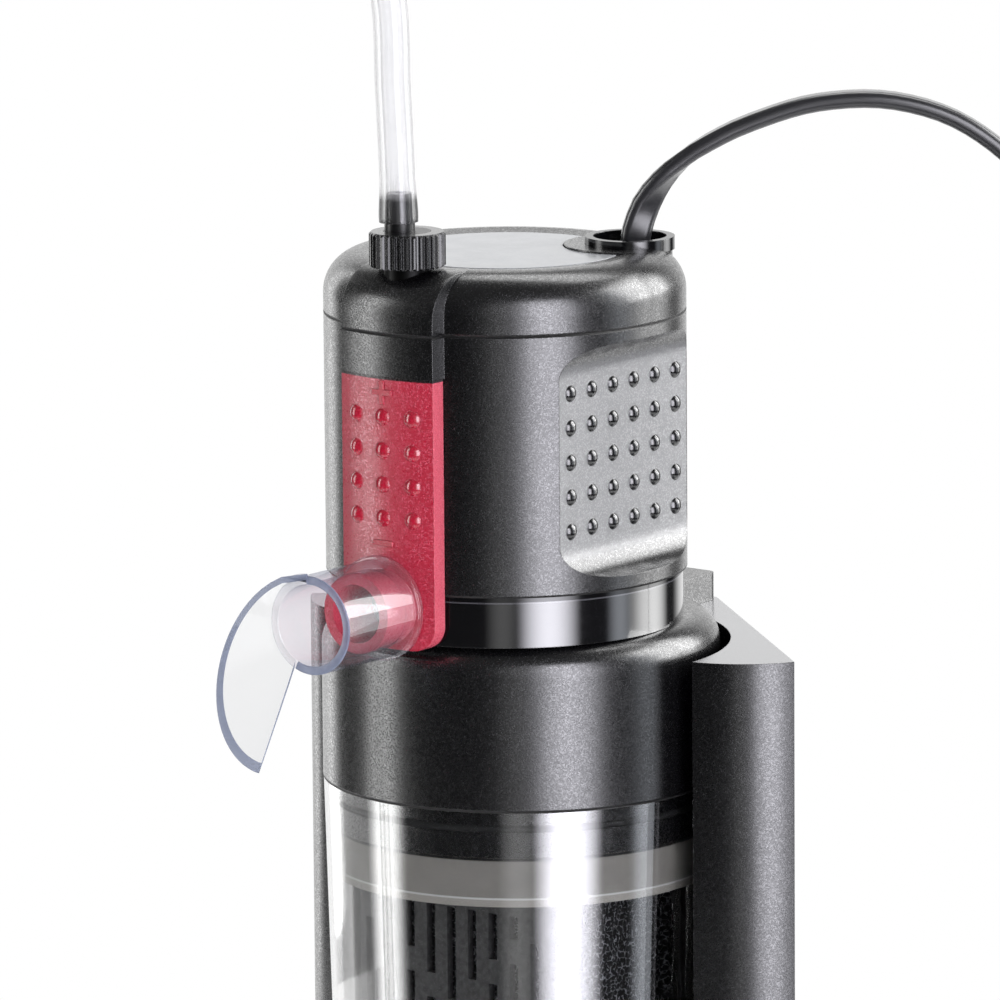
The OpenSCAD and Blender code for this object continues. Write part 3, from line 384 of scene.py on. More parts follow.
def black_plastic(f, colour, roughness, relief, coat, line=None):
    """Specular black with fine relief; a joint line is a small V groove, painted black as the shade inside it.
    """
    normal = f.bump(relief, 0.01, 1.0, f.edge())
    if line:
        normal = f.bump(line * -1, 0.34, 1.0, normal)
        # painted shadow: the joint is painted black, as the shade inside it
        colour = f.mix(line.between(0.15, 0.6), colour, (0, 0, 0))
        roughness = line * 0.4 + roughness
        coat = (1 - line.between(0.1, 0.5)) * coat
    return f.done(
        f.surface(
            Base_Color=colour,
            Roughness=roughness,
            Normal=normal,
            Specular_IOR_Level=1.0,
            Coat_Weight=coat,
            Coat_Roughness=0.26,
        )
    )


def speckle(f, size=0.2):
    """Grain of a spark-eroded mould: its relief, and a random share of brighter grains."""
    grains = f.node("SeparateColor", Color=f.cells(size, output=1))
    fine = f.cells(size * 1.7, output=1)
    return grains * 0.65 + fine * 0.35, grains.between(0.55, 0.95)


def moulded_black(name, line=None, painted_lit_top=False):
    """Black plastic with a spark-eroded texture: fine grains that catch the light."""
    f = Finish(name)
    fine, bright = speckle(f)
    coarse = f.noise(9, 3)
    colour = f.mix(bright, srgb(7, 7, 8), srgb(18.2, 18.2, 20.8))
    colour = f.mix(coarse * 0.35, colour, srgb(5.6, 5.6, 6.4))
    roughness = (0.5 - fine) * 0.2 + (coarse - 0.5) * 0.08 + 0.25
    coat = bright * 0.85 + 0.2
    if painted_lit_top:  # painted light: upward faces are smooth and painted paler than the grained sides
        top = (f.facing()[2] > 0.8) * 1.0
        fine = fine * (1 - top * 0.85)
        roughness = roughness * (1 - top * 0.5)
        # painted light: upward faces take a pale grey, standing in for the light they catch
        colour = f.mix(top, colour, srgb(120, 120, 124))
        coat = coat.most(top)
    return black_plastic(f, colour, roughness, fine, coat, groove(f.axes()[2], line) if line else None)


def grip_black(name):
    """The shell's black, painted paler on the two grip flats as painted light, and polished on their dots."""
    f = Finish(name)
    x, y, z = f.axes()
    side = x.most(x * -1)
    inner = (x * x + y * y) ** 0.5 < GRIP_R * MM
    grip = inner * (side > GRIP_SIDE * MM) * within(z, GRIP_LOW, GRIP_HIGH)
    dots = inner * (side > DOT_SIDE * MM) * within(z, DOTS_LOW, DOTS_HIGH)
    fine, bright = speckle(f)
    coarse = f.noise(9, 3)
    dark = f.mix(bright, srgb(7, 7, 8), srgb(18, 18, 20))
    # painted light: soft is a pale grey painted on the grip flats, standing in for the lamp light they catch
    soft = f.mix(bright, srgb(84, 85, 87), srgb(112, 113, 115))
    tilt = f.facing()[2]
    flat = grip * (1 - (tilt * tilt).between(0.02, 0.3))
    colour = f.mix(dots, f.mix(flat, dark, soft), srgb(16, 16, 17))
    rough = (0.5 - fine) * 0.14 + (coarse - 0.5) * 0.08 + 0.26 + flat * 0.08
    rough = (1 - dots) * rough + dots * 0.14
    relief = fine * (1 - dots) * (1 - grip * 0.5)
    line = groove(z, SHELL_TOP).most(groove(z, NECK_TOP))
    return black_plastic(f, colour, rough, relief, bright * 0.85 + 0.2, line)


def gloss_black(name):
    """Polished black plastic with faint turning marks, handling haze and a painted highlight line near its top.
    """
    f = Finish(name)
    marks = f.noise(0.9, 3, 0.6, at=f.stretched(0.05, 0.05, 1.6))
    haze = f.noise(14, 4)
    dust = f.noise(0.5, 1.5)
    z = f.axes()[2]
    colour = f.mix(dust.between(0.68, 0.8) * 0.35, srgb(10, 10, 12), srgb(60, 60, 64))
    # painted highlight: a thin pale line just under the shell's lower edge
    colour = f.mix(groove(z, NECK_TOP - 1, 0.2).between(0.1, 0.6), colour, srgb(74, 74, 78))
    shut = z.between((NECK_TOP - 0.9) * MM, (NECK_TOP - 0.8) * MM)  # inside the joint under the shell
    return f.done(
        f.surface(
            Base_Color=colour,
            Roughness=marks * 0.07 + haze * 0.08 + 0.05,
            Normal=f.bump(marks, 0.004, 1.0, f.edge()),
            Specular_IOR_Level=0.9,
            Coat_Weight=(haze * 0.3 + 0.8) * (1 - shut),
            Coat_Roughness=0.07,
            Coat_IOR=1.75,
        )
    )


def rubber(name, base=(17, 17, 18), rough=0.6, coat=0.0, shine=0.5, shaded_below=None):
    """Soft black; below a given height it is painted near-black as painted shade, and has no gloss."""
    f = Finish(name)
    grain = f.noise(0.25, 3, 0.6)
    patch = f.noise(6, 3)
    colour = f.mix(patch, srgb(*base), srgb(*(c * 1.5 for c in base)))
    gloss = patch * 0.1 + coat
    if shaded_below:
        # painted shade: below that height the colour is near-black and the gloss is gone
        bright = (f.axes()[2] > shaded_below * MM) * 1.0
        colour = f.mix(bright, (0.001, 0.001, 0.001), colour)
        gloss = gloss * bright
    return f.done(
        f.surface(
            Base_Color=colour,
            Roughness=(grain - 0.5) * 0.2 + rough,
            Normal=f.bump(grain, 0.01, 1.0, f.edge()),
            Specular_IOR_Level=shine,
            Coat_Weight=gloss,
            Coat_Roughness=rough * 0.8,
        )
    )


def crimson(name):
    """Slider red: satin plastic with fine grain, a little depth and scuffs."""
    f = Finish(name)
    fine, bright = speckle(f)
    flow = f.noise(7, 4, 0.6)
    scuff = f.noise(1.1, 5, 0.7)
    x, y, z = f.axes()
    colour = f.mix(flow, srgb(170, 26, 50), srgb(184, 34, 60))
    colour = f.mix(bright * 0.5, colour, srgb(230, 112, 132))
    colour = f.mix(scuff.between(0.62, 0.78) * 0.3, colour, srgb(216, 104, 124))
    painted_lit_flank = f.facing()[1].between(-0.6, -0.3)  # painted light: what doesn't face forward is painted paler
    colour = f.mix(painted_lit_flank * (fine * 0.8 + 0.35), colour, srgb(214, 90, 108))
    # painted shadow: a dark band along the slider's top, under the column's edge
    top = z.between((SLIDER_TOP - 0.5) * MM, (SLIDER_TOP - 0.3) * MM)
    colour = f.mix(top, colour, srgb(20, 5, 8))
    # the dots and marks stand out of the face and are worn smooth
    raised = ((x * x + y * y) ** 0.5 > (COLUMN_R + SLIDER_RISE) * MM) * (z > SLIDER_DOTS_LOW * MM)
    colour = f.mix(raised * 0.75, colour, srgb(176, 22, 48))
    fine = fine * (1 - raised * 0.85)
    face_rough = (0.5 - fine) * 0.24 + scuff * 0.1 + 0.25
    return f.done(
        f.surface(
            Base_Color=colour,
            Roughness=face_rough * (1 - raised) + raised * 0.15,
            Normal=f.bump(fine, 0.02, 1.0, f.edge()),
            Specular_IOR_Level=0.7,
            Coat_Weight=bright * 0.6 + 0.1 + raised * 0.5,
            Coat_Roughness=0.2,
        )
    )


def clear(name):
    """Clear moulded plastic with faint flow ripples; light passes it without a dark shadow."""
    f = Finish(name)
    ripple = f.noise(26, 2, 0.4, at=f.stretched(1, 1, 0.35))
    scratch = f.noise(0.7, 3, 0.7, at=f.stretched(1, 1, 0.12))
    glass = f.surface(
        Base_Color=f.mix(ripple, srgb(250, 250, 250), srgb(247, 247, 247)),
        Roughness=scratch.between(0.55, 0.75) * 0.04 + 0.02,
        Normal=f.bump(ripple + scratch * 0.01, 0.05, 0.35),
        Transmission_Weight=1.0,
        IOR=1.56,
        Coat_Weight=1.0,
        Coat_Roughness=0.04,
        Coat_IOR=1.6,
    )
    lighting = f.node("LightPath", output="Is Shadow Ray").most(f.node("LightPath", output="Is Diffuse Ray"))
    return f.done(f.mix_shader(lighting, glass, f.air((0.93, 0.95, 0.96))))


def thin_clear(name, tint, tube_tint, side_tint, gloss, milk, rough, barb_top=0):
    """See-through skin: greyer where it is seen edge-on, with a mirror gloss over it.

    A tube behind the nozzle's front may have a tint of its own, and below barb_top the skin
    is stretched over a dark barb.
    """
    f = Finish(name)
    _, y, z = f.axes()
    behind = y.between(-(NOZZLE_FRONT + 0.2) * MM, -(NOZZLE_FRONT - 0.8) * MM)
    above = z.between((barb_top - 1.5) * MM, (barb_top + 0.5) * MM)
    clear_air = f.mix_shader(behind, f.air(tint), f.air(tube_tint))
    grey_air = f.mix_shader(above, f.air((0.1, 0.1, 0.1)), f.air(side_tint))
    haze = f.noise(5, 4, 0.6)
    edge_on = f.node("LayerWeight", output="Facing", Blend=0.5)
    body = f.mix_shader(edge_on**2.6 * above + edge_on**0.8 * (1 - above), clear_air, grey_air)
    cloud = f.surface(Base_Color=f.mix(haze, (0.86, 0.86, 0.88), (0.93, 0.93, 0.94)), Roughness=0.3)
    body = f.mix_shader((haze * 0.4 + 0.6) * milk * (above * 0.9 + 0.1), body, cloud)
    silver = f.mix(haze, (0.93, 0.94, 0.96), (0.97, 0.97, 0.98))
    mirror = f.surface(Base_Color=silver, Metallic=1.0, Roughness=haze * 0.06 + rough)
    return f.done(f.mix_shader((edge_on**5 * 0.5 + gloss).least(1), body, mirror))


def scoop_edge(name):
    """Cut edges of the clear scoop, where light gathers blue-grey."""
    f = Finish(name)
    haze = f.noise(3, 4, 0.6)
    colour = f.mix(haze, srgb(104, 112, 136), srgb(148, 156, 178))
    solid = f.surface(Base_Color=colour, Roughness=haze * 0.1 + 0.14)
    return f.done(f.mix_shader(haze * 0.2 + 0.7, f.air((0.6, 0.64, 0.74)), solid))


def plain_plastic(name, base, rough, grain, relief, mottle, size=4, lips=(), rounded_edges=True):
    """Moulded plastic with fine grain and patches of size mm; lips are the tops of a rim's lips."""
    f = Finish(name)
    fine = f.noise(grain, 2.5, 0.6)
    patch = f.noise(size, 4, 0.62)
    dark = tuple(c * (1 - mottle) for c in base)
    light = tuple(min(255, c * (1 + mottle)) for c in base)
    colour = f.mix(patch.between(0.3, 0.7), srgb(*dark), srgb(*light))
    z = f.axes()[2] if lips else None
    for top in lips:  # the painted shadow line under a lip, a painted highlight along its foot and the paler skirt below it
        skirt = within(z, top - RIM_SKIRT, top - RIM_LIP) * 0.5
        colour = f.mix(skirt, colour, srgb(*(c * 1.35 for c in base)))
        colour = f.mix(groove(z, top - 0.35, 0.5).between(0.2, 0.7), colour, srgb(6, 6, 6))
        colour = f.mix(groove(z, top - RIM_LIP, 0.3).between(0.2, 0.7) * 0.7, colour, srgb(200, 200, 196))
    normal = f.bump(fine, relief * 0.4, 1.0, f.edge() if rounded_edges else None)
    return f.done(f.surface(Base_Color=colour, Roughness=(fine - 0.5) * 0.15 + rough, Normal=normal))


def open_foam(name):
    """Black reticulated foam: a net of thin bright strands over deep pores."""
    f = Finish(name)
    pore, shift = 0.95, 1.2  # width of a pore, and how far the net is pushed out of true
    push = f.node("TexNoise", output=1, Vector=f.place, Scale=1 / (2.5 * MM), Detail=1.0)
    pushed = f.tree.nodes.new("ShaderNodeVectorMath")
    pushed.operation = "MULTIPLY_ADD"
    for socket, value in zip(pushed.inputs, (push, (shift * MM,) * 3, f.place)):
        put(f.tree, socket, value)
    at = Value(f.tree, pushed.outputs[0])
    web = 1 - f.cells(pore, "DISTANCE_TO_EDGE", at=at).between(0.02, 0.12)
    strands = web * f.noise(0.9, 2, 0.6).between(0.44, 0.56)
    pores = f.cells(pore, at=at)
    colour = f.mix(strands, srgb(9, 9, 10), srgb(200, 200, 206))
    colour = f.mix(f.noise(2.2, 2) * 0.4, colour, srgb(14, 14, 15))
    normal = f.bump(strands - pores * 0.6, 0.5, 0.9)
    return f.done(f.surface(Base_Color=colour, Roughness=0.55 - strands * 0.2, Normal=normal))


def pin_metal(name):
    """Drawn nickel-plated brass."""
    f = Finish(name)
    brush = f.noise(0.5, 3, 0.6, at=f.stretched(3, 0.2, 3))
    colour = f.mix(brush, srgb(214, 212, 204), srgb(181.9, 180.2, 173.4))
    normal = f.bump(brush, 0.01, 0.4)
    return f.done(f.surface(Base_Color=colour, Roughness=brush * 0.15 + 0.22, Metallic=1.0, Normal=normal))


BLACK = moulded_black("textured_black", painted_lit_top=True)
CAP_BLACK = moulded_black("cap_black", SHELL_TOP)
COLLAR_BLACK = moulded_black("collar_black", COLLAR_LINE)
GRIP = grip_black("shell_black")
KNOB = rubber("knob_black", (11, 11, 12), 0.26, coat=0.7)
GLOSS = gloss_black("gloss_black")
RUBBER = rubber("soft_rubber")
SEAL = rubber("seal_rubber", (14, 14, 14), 0.5)
LEAD = rubber("lead_black", (30, 30, 32), 0.32, coat=0.9)
# painted shadow under the knob: the nipple is near-black below the knob's top
NIPPLE = rubber("nipple_black", (14, 14, 15), 0.4, coat=0.7, shine=0.15, shaded_below=KNOB_TOP - 0.5)
RED = crimson("slider_red")
CLEAR = clear("clear_jar")
SCOOP_TINT, TUBE_TINT, HOSE_TINT = (0.988, 0.99, 0.992), (0.965, 0.95, 0.97), (0.98, 0.98, 0.978)
SCOOP = thin_clear("clear_nozzle", SCOOP_TINT, TUBE_TINT, (0.6, 0.62, 0.7), 0.06, 0.04, 0.01)
SCOOP_EDGE = scoop_edge("clear_nozzle_edge")
HOSE = thin_clear("hose_pvc", HOSE_TINT, HOSE_TINT, (0.55, 0.54, 0.55), 0.03, 0.22, 0.05, NIPPLE_TOP)
DISC = plain_plastic("disc_grey", (176, 178, 181), 0.16, 0.5, 0.006, 0.03, 12)
RIM = plain_plastic("rim_grey", (122, 118, 112), 0.34, 0.4, 0.01, 0.06, 8, RIM_TOPS)
BASKET = plain_plastic("basket_grey", (50, 49, 49), 0.5, 0.4, 0.03, 0.3, 1.0, rounded_edges=False)
FOAM = open_foam("open_foam")
POTTING = plain_plastic("potting_black", (32, 33, 37), 0.3, 0.6, 0.02, 0.2)
WHITE = plain_plastic("impeller_white", (226, 224, 216), 0.38, 0.3, 0.02, 0.05)
CERAMIC = plain_plastic("ceramic", (238, 236, 230), 0.14, 0.3, 0.004, 0.03)
MAGNET = plain_plastic("magnet", (52, 49, 47), 0.34, 0.2, 0.02, 0.12)
PIN = pin_metal("pin_metal")


# ---------- mesh building ----------


class Shape:
    """Points in millimetres, the faces between them and each face's material number."""

    def __init__(self):
        self.points, self.faces, self.marks = [], [], []

    def add(self, points, faces):
        start = len(self.points)
        self.points += [tuple(float(c) for c in p) for p in points]
        self.faces += [tuple(i + start for i in face) for face in faces]
        self.marks += [0] * len(faces)
        return self

    def rings(self, rings, wrap=False):
        """Skin over rings of as many points each. wrap joins the last ring to the first."""
        n, rows = len(rings[0]), len(rings)
        points = [p for ring in rings for p in ring]
        faces = []
        for i in range(rows if wrap else rows - 1):
            for k in range(n):
                a, b = i * n + k, i * n + (k + 1) % n
                c, d = ((i + 1) % rows) * n + (k + 1) % n, ((i + 1) % rows) * n + k
                faces.append((a, b, c, d))
        if not wrap:
            faces.append(tuple(range(n)))
            faces.append(tuple(range((rows - 1) * n, rows * n)))
        return self.add(points, faces)

    def turned(self, profile, centre, sides):
        """Closed profile of (radius, distance towards the front) pairs, turned about the line
        through centre, given as (x, z), that runs to the front."""
        x, z = centre
        rings = []
        for r, ahead in profile:
            ring = []
            for k in range(sides):
                a = 2 * math.pi * k / sides
                ring.append((x + r * math.cos(a), -ahead, z + r * math.sin(a)))
            rings.append(ring)
        return self.rings(rings, wrap=True)

    def prism(self, outline, low, high, edge):
        """Upright prism of an outline, with rounded top and bottom edges."""
        outline = np.array(outline, float)
        steps = 3
        levels = []
        for k in range(steps + 1):
            a = math.pi / 2 * k / steps
            levels.append((low + edge - edge * math.cos(a), edge - edge * math.sin(a)))
        levels += [(low + high - z, inset) for z, inset in reversed(levels)]
        before, after = np.roll(outline, 1, 0), np.roll(outline, -1, 0)
        tangent = after - before
        tangent /= np.linalg.norm(tangent, axis=1)[:, None]
        area = np.sum(outline[:, 0] * after[:, 1] - after[:, 0] * outline[:, 1])
        inward = np.stack([-tangent[:, 1], tangent[:, 0]], 1) * (1 if area > 0 else -1)
        rings = []
        for z, inset in levels:
            flat = outline + inward * inset
            rings.append([(x, y, z) for x, y in flat])
        return self.rings(rings)


def joined(*shapes):
    out = Shape()
    for s in shapes:
        start = len(out.points)
        out.points += s.points
        out.faces += [tuple(i + start for i in face) for face in s.faces]
        out.marks += s.marks
    return out


def rounded(corners, closed=True, steps=5):
    """Polyline through corners given as (a, b) or (a, b, fillet)."""
    out, n = [], len(corners)
    for i, corner in enumerate(corners):
        if len(corner) < 3 or (not closed and i in (0, n - 1)):
            out.append(tuple(corner[:2]))
            continue
        p = np.array(corner[:2], float)
        u = np.array(corners[i - 1][:2], float) - p
        v = np.array(corners[(i + 1) % n][:2], float) - p
        u, v = u / np.linalg.norm(u), v / np.linalg.norm(v)
        half = math.acos(max(-1, min(1, float(u @ v)))) / 2
        middle = p + (u + v) / np.linalg.norm(u + v) * corner[2] / math.sin(half)
        start = p + u * corner[2] / math.tan(half) - middle
        end = p + v * corner[2] / math.tan(half) - middle
        turn = math.pi - 2 * half
        for k in range(steps + 1):
            f = k / steps
            q = middle + (math.sin((1 - f) * turn) * start + math.sin(f * turn) * end) / math.sin(turn)
            out.append((float(q[0]), float(q[1])))
    return out


def box_outline(x, y, half_wide, half_long, fillet, steps):
    """Rounded rectangle about a middle point."""
    corners = [(-1, -1), (1, -1), (1, 1), (-1, 1)]
    return rounded([(x + i * half_wide, y + k * half_long, fillet) for i, k in corners], steps=steps)


def piece(name, body, shape, materials, node, sharp):
    """An object made from a Shape, riding on a body and standing for the nodes named."""
    mesh = bpy.data.meshes.new(name)
    mesh.from_pydata([(x * MM, y * MM, z * MM) for x, y, z in shape.points], [], shape.faces)
    for material in materials:
        mesh.materials.append(material)
    mesh.polygons.foreach_set("material_index", shape.marks)
    bm = bmesh.new()
    bm.from_mesh(mesh)
    bmesh.ops.remove_doubles(bm, verts=bm.verts, dist=2e-6)
    bmesh.ops.recalc_face_normals(bm, faces=bm.faces)
    bm.to_mesh(mesh)
    bm.free()
    mesh.shade_smooth()
    mesh.set_sharp_from_angle(angle=math.radians(sharp))
    made = bpy.data.objects.new(name, mesh)
    scene.collection.objects.link(made)
    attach(made, body)
    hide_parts(*node)
    return made


# ---------- hose and lead ----------


HOSE_R, HOSE_BORE_R = 3.0, 1.95
HOSE_ROUTE = [
    (-1.1, -27.6, 249.8), (-1.2, -27.7, 257), (-1.7, -28, 272), (-2.5, -28.6, 290), (-7.4, -32.5, 309),
    (-18, -40.5, 322), (-31, -50.5, 327), (-44, -60.5, 322), (-54, -68, 309), (-59, -72, 290),
    (-60, -73, 250), (-60, -73, 180), (-60, -73, 110), (-60, -72, 60), (-60, -70.2, 34), (-60, -65.5, 18),
    (-60, -55, 7), (-60, -40, 3.1), (-60, -20, 3), (-60, 6, 3.5), (-60, 16, 4.5), (-60, 24, 4.5),
]  # fmt: skip
LEAD_WIDE, LEAD_THICK = 5.2, 3.2
# places of the lead's middle, each with the direction of its wide side
LEAD_START = [
    ((14.7, 17.5, 241.3), (8, 6, 0)), ((15, 17.7, 244), (7.6, 6.5, 0)), ((16.2, 18.7, 248.4), (5, 8.5, 0)),
    ((18.4, 20.3, 252.6), (0, 10, 0)), ((21.2, 22.6, 256.1), (-4, 9, 0)), ((24.8, 25.3, 259.1), (-5.6, 8.2, 0)),
    ((30.5, 29.8, 262.5), (-6, 8, 0)), ((39.5, 36.7, 265.8), (-6, 8, 0)), ((50, 44.5, 266), (-6, 8, 0)),
    ((60, 52.3, 261.5), (-6, 8, 0)), ((69, 59.3, 251), (-6, 8, 0)), ((75, 64, 234), (-6, 8, 0)),
    ((77, 65, 210), (-7, 7, 0)), ((77, 64, 170), (-8, 6, 0)), ((75, 62, 125), (-9, 4, 0)),
    ((72, 58, 80), (-9, 2, 0)), ((67, 50, 42), (-9, 2, 0)), ((62.2, 40, 15), (-9, 0, 3)),
    ((60.8, 31.5, 6.6), (-6, 0, 7)), ((60, 23, 3.1), (0, 0, 9)), ((60, 16, 2.6), (0, 0, 9)),
]  # fmt: skip
LEAD_END = [
    ((60, 4, 8.3), (0, 0, 9)), ((60, -1, 8.2), (0, 0, 9)), ((60, -6, 7.8), (4, 0, 8)),
    ((60, -12, 7), (9, 0, 2)), ((60, -18, 6.9), (9, 0, 0)),
]  # fmt: skip
COIL_AT, COIL_R, LOOPS, LOOP_PARTS = (95, 10), 35, 6, 72
COIL_PITCH = 3.7  # from one turn to the next, inward
COIL_RISE = 5.7  # from the lower layer to the upper one


def unit(vector):
    return vector / np.linalg.norm(vector)


def spline(points, step):
    """Catmull-Rom curve through the points, about one step between places."""
    points = [np.array(p, float) for p in points]
    out = []
    for i in range(len(points) - 1):
        p0, p1, p2, p3 = (points[max(0, min(len(points) - 1, j))] for j in (i - 1, i, i + 1, i + 2))
        parts = max(1, round(np.linalg.norm(p2 - p1) / step))
        for k in range(parts):
            t = k / parts
            straight = 2 * p1 + (p2 - p0) * t
            bent = (2 * p0 - 5 * p1 + 4 * p2 - p3) * t * t + (3 * p1 - p0 - 3 * p2 + p3) * t**3
            out.append(0.5 * (straight + bent))
    out.append(points[-1])
    return out


def reach(path):
    return sum(float(np.linalg.norm(b - a)) for a, b in zip(path, path[1:]))


def heading(path, i):
    """Direction of a path at its place number i."""
    return unit(path[min(i + 1, len(path) - 1)] - path[max(i - 1, 0)])


def ease(x):
    return (1 - math.cos(math.pi * x)) / 2


def coil_point(turn):
    """Spirals in on the lower layer and out again on the upper one, dipping inward where it climbs."""
    inward = min(turn, LOOPS - turn)
    dip = min(1, max(0, (0.55 - abs(turn - LOOPS / 2)) / 0.3))
    r = COIL_R - COIL_PITCH * inward - 2.2 * ease(dip)
    climb = min(1, max(0, (turn - LOOPS / 2 + 0.25) / 0.5))
    a = math.pi + 2 * math.pi * turn
    z = LEAD_WIDE / 2 + COIL_RISE * ease(climb)
    return np.array((COIL_AT[0] + r * math.cos(a), COIL_AT[1] + r * math.sin(a), z))


def with_sides(route, step):
    """Places along a route, with the direction of the lead's wide side at each."""
    places = spline([p for p, _ in route], step)
    sides = []
    for (p, wide), (next_p, next_wide) in zip(route, route[1:]):
        a, b = unit(np.array(wide, float)), unit(np.array(next_wide, float))
        parts = max(1, round(float(np.linalg.norm(np.subtract(next_p, p))) / step))
        sides += [a * (1 - k / parts) + b * k / parts for k in range(parts)]
    return places, [*sides, np.array(route[-1][1], float)]


def lead_section(corners=20):
    """Outline of the twin lead: two round cores side by side with a shallow waist between."""
    core, apart, waist = LEAD_THICK / 2, (LEAD_WIDE - LEAD_THICK) / 2, 0.12
    section = []
    for k in range(corners):
        a = 2 * math.pi * (k + 0.5) / corners
        drawn_in = 1 - waist * math.exp(-((math.cos(a) / 0.35) ** 2))
        across = core * math.cos(a) + math.copysign(apart, math.cos(a))
        section.append((across, core * math.sin(a) * drawn_in))
    return section


def lead():
    """The flat twin lead from the gland through the coil to the plug."""
    start, start_sides = with_sides(LEAD_START, 2.5)
    coil = [coil_point(i / LOOP_PARTS) for i in range(LOOPS * LOOP_PARTS + 1)]
    end, end_sides = with_sides(LEAD_END, 2)
    path = [*start, *coil, *end]
    up = np.array((0, 0, 1.0))
    sides = [*start_sides, *[up] * len(coil), *end_sides]
    section = lead_section()
    rings = []
    for i, place in enumerate(path):
        along = heading(path, i)
        wide = unit(sides[i] - (sides[i] @ along) * along)
        thin = np.cross(along, wide)
        ring = [place + a * wide + b * thin for a, b in section]
        rings.append([(p[0], p[1], max(p[2], 0)) for p in ring])
    shape = Shape().rings(rings)
    made = piece("mains_lead", "head", shape, [LEAD], ["power_cable", "cable_coil"], 60)
    return made, path


def hose():
    """Clear tube with a real bore, stretched over the barb at its lower end."""
    path = spline(HOSE_ROUTE, 1.5)
    sides = 40
    turns = [2 * math.pi * k / sides for k in range(sides)]
    stretch, barb = 0.42, 6  # growth of the radius over the barb, and the barb's length
    outer, inner = [], []
    run = 0.0
    across = np.array((1.0, 0, 0))
    for i, place in enumerate(path):
        along = heading(path, i)
        across = unit(across - (across @ along) * along)
        other = np.cross(along, across)
        run += float(np.linalg.norm(place - path[i - 1])) if i else 0
        flare = stretch * max(0, 1 - run / barb) ** 0.7
        lip = 0.12 * math.exp(-((run / 0.8) ** 2))
        for ring, r in ((outer, HOSE_R + flare - lip), (inner, HOSE_BORE_R + flare)):
            ring.append([place + r * (math.cos(a) * across + math.sin(a) * other) for a in turns])
    shape = Shape().rings([*outer, *reversed(inner)], wrap=True)
    for i, p in enumerate(shape.points):
        shape.points[i] = (p[0], p[1], max(p[2], 0))
    made = piece("air_tube", "head", shape, [HOSE], ["air_hose"], 60)
    return made, path


# ---------- far end of the lead ----------


PLUG_AT, PLUG_MID = (60, -18), 6.85  # where the lead enters the plug, and the plug's mid height
# distance from the lead's end, half width, half height and corner radius of the plug's grip
PLUG_SECTIONS = [
    (0.0, 4.2, 3.2, 2.4), (1.2, 4.8, 3.8, 2.8), (4.5, 7.0, 5.0, 3.2), (8.5, 9.8, 6.1, 3.2),
    (13, 12.4, 6.6, 3.0), (17, 12.9, 6.8, 2.6), (30, 13.0, 6.85, 2.4), (35, 12.9, 6.8, 2.4),
    (35.7, 12.6, 6.5, 2.2), (36, 12.0, 5.9, 1.8),
]  # fmt: skip
PIN_ASIDE = 9.3  # each pin from the plug's middle
# the collar round a pin: radius, distance in front of the object's axis, and fillet
PIN_COLLAR = [(2.05, 53.6), (3.4, 53.6), (3.4, 54.0, 0.2), (2.05, 54.0)]


def plug():
    """Two-pin flat plug: ribbed grip, and a collar round each pin."""
    x0, y0 = PLUG_AT
    dense = []
    for a, b in zip(PLUG_SECTIONS, PLUG_SECTIONS[1:]):
        parts = 6 if 13 <= a[0] < 35 else 3
        for k in range(parts):
            f = k / parts
            dense.append([u + (v - u) * f for u, v in zip(a, b)])
    dense.append(PLUG_SECTIONS[-1])
    rings = []
    for back, wide, tall, fillet in dense:
        outline = box_outline(0, 0, wide, tall, fillet, 6)
        rings.append([(x0 + a, y0 - back, PLUG_MID + b) for a, b in outline])
    shape = Shape().rings(rings)
    ribs, rib_pitch, rib_rise = 6, 2.6, 0.8
    for low in (0.0, 2 * PLUG_MID - rib_rise):  # lower and upper flat face
        for k in range(ribs):
            bar = box_outline(x0, y0 - 16.5 - k * rib_pitch, 9, 0.65, 0.6, 4)
            shape = joined(shape, Shape().prism(bar, low, low + rib_rise, 0.3))
    for side in (-1, 1):
        collar = Shape().turned(rounded(PIN_COLLAR), (x0 + side * PIN_ASIDE, PLUG_MID), 40)
        shape = joined(shape, collar)
    return piece("plug_grip", "head", shape, [LEAD], ["plug_body"], 40)


def tie():
    """Buckled strap round the coil."""
    x0, x1, half, tall, strap = 118.35, 130.55, 2.0, 11.9, 0.8
    outer = rounded([(x0, 0.0, 1.0), (x1, 0.0, 1.0), (x1, tall, 1.0), (x0, tall, 1.0)])
    x0, x1, foot, top = x0 + strap, x1 - strap, strap, tall - strap
    inner = rounded([(x0, foot, 0.5), (x1, foot, 0.5), (x1, top, 0.5), (x0, top, 0.5)])
    front = [[(a, COIL_AT[1] + y, b) for a, b in outer] for y in (-half, 0.15 - half, half - 0.15, half)]
    back = [[(a, COIL_AT[1] + y, b) for a, b in inner] for y in (half, -half)]
    buckle = box_outline(124.4, COIL_AT[1], 2.2, 2.6, 0.5, 4)
    shape = joined(
        Shape().rings([*front, *back], wrap=True),
        Shape().prism(buckle, tall - 1.2, tall + 1.3, 0.3),
    )
    return piece("lead_strap", "head", shape, [KNOB], ["cable_tie"], 40)


# ---------- nozzle ----------


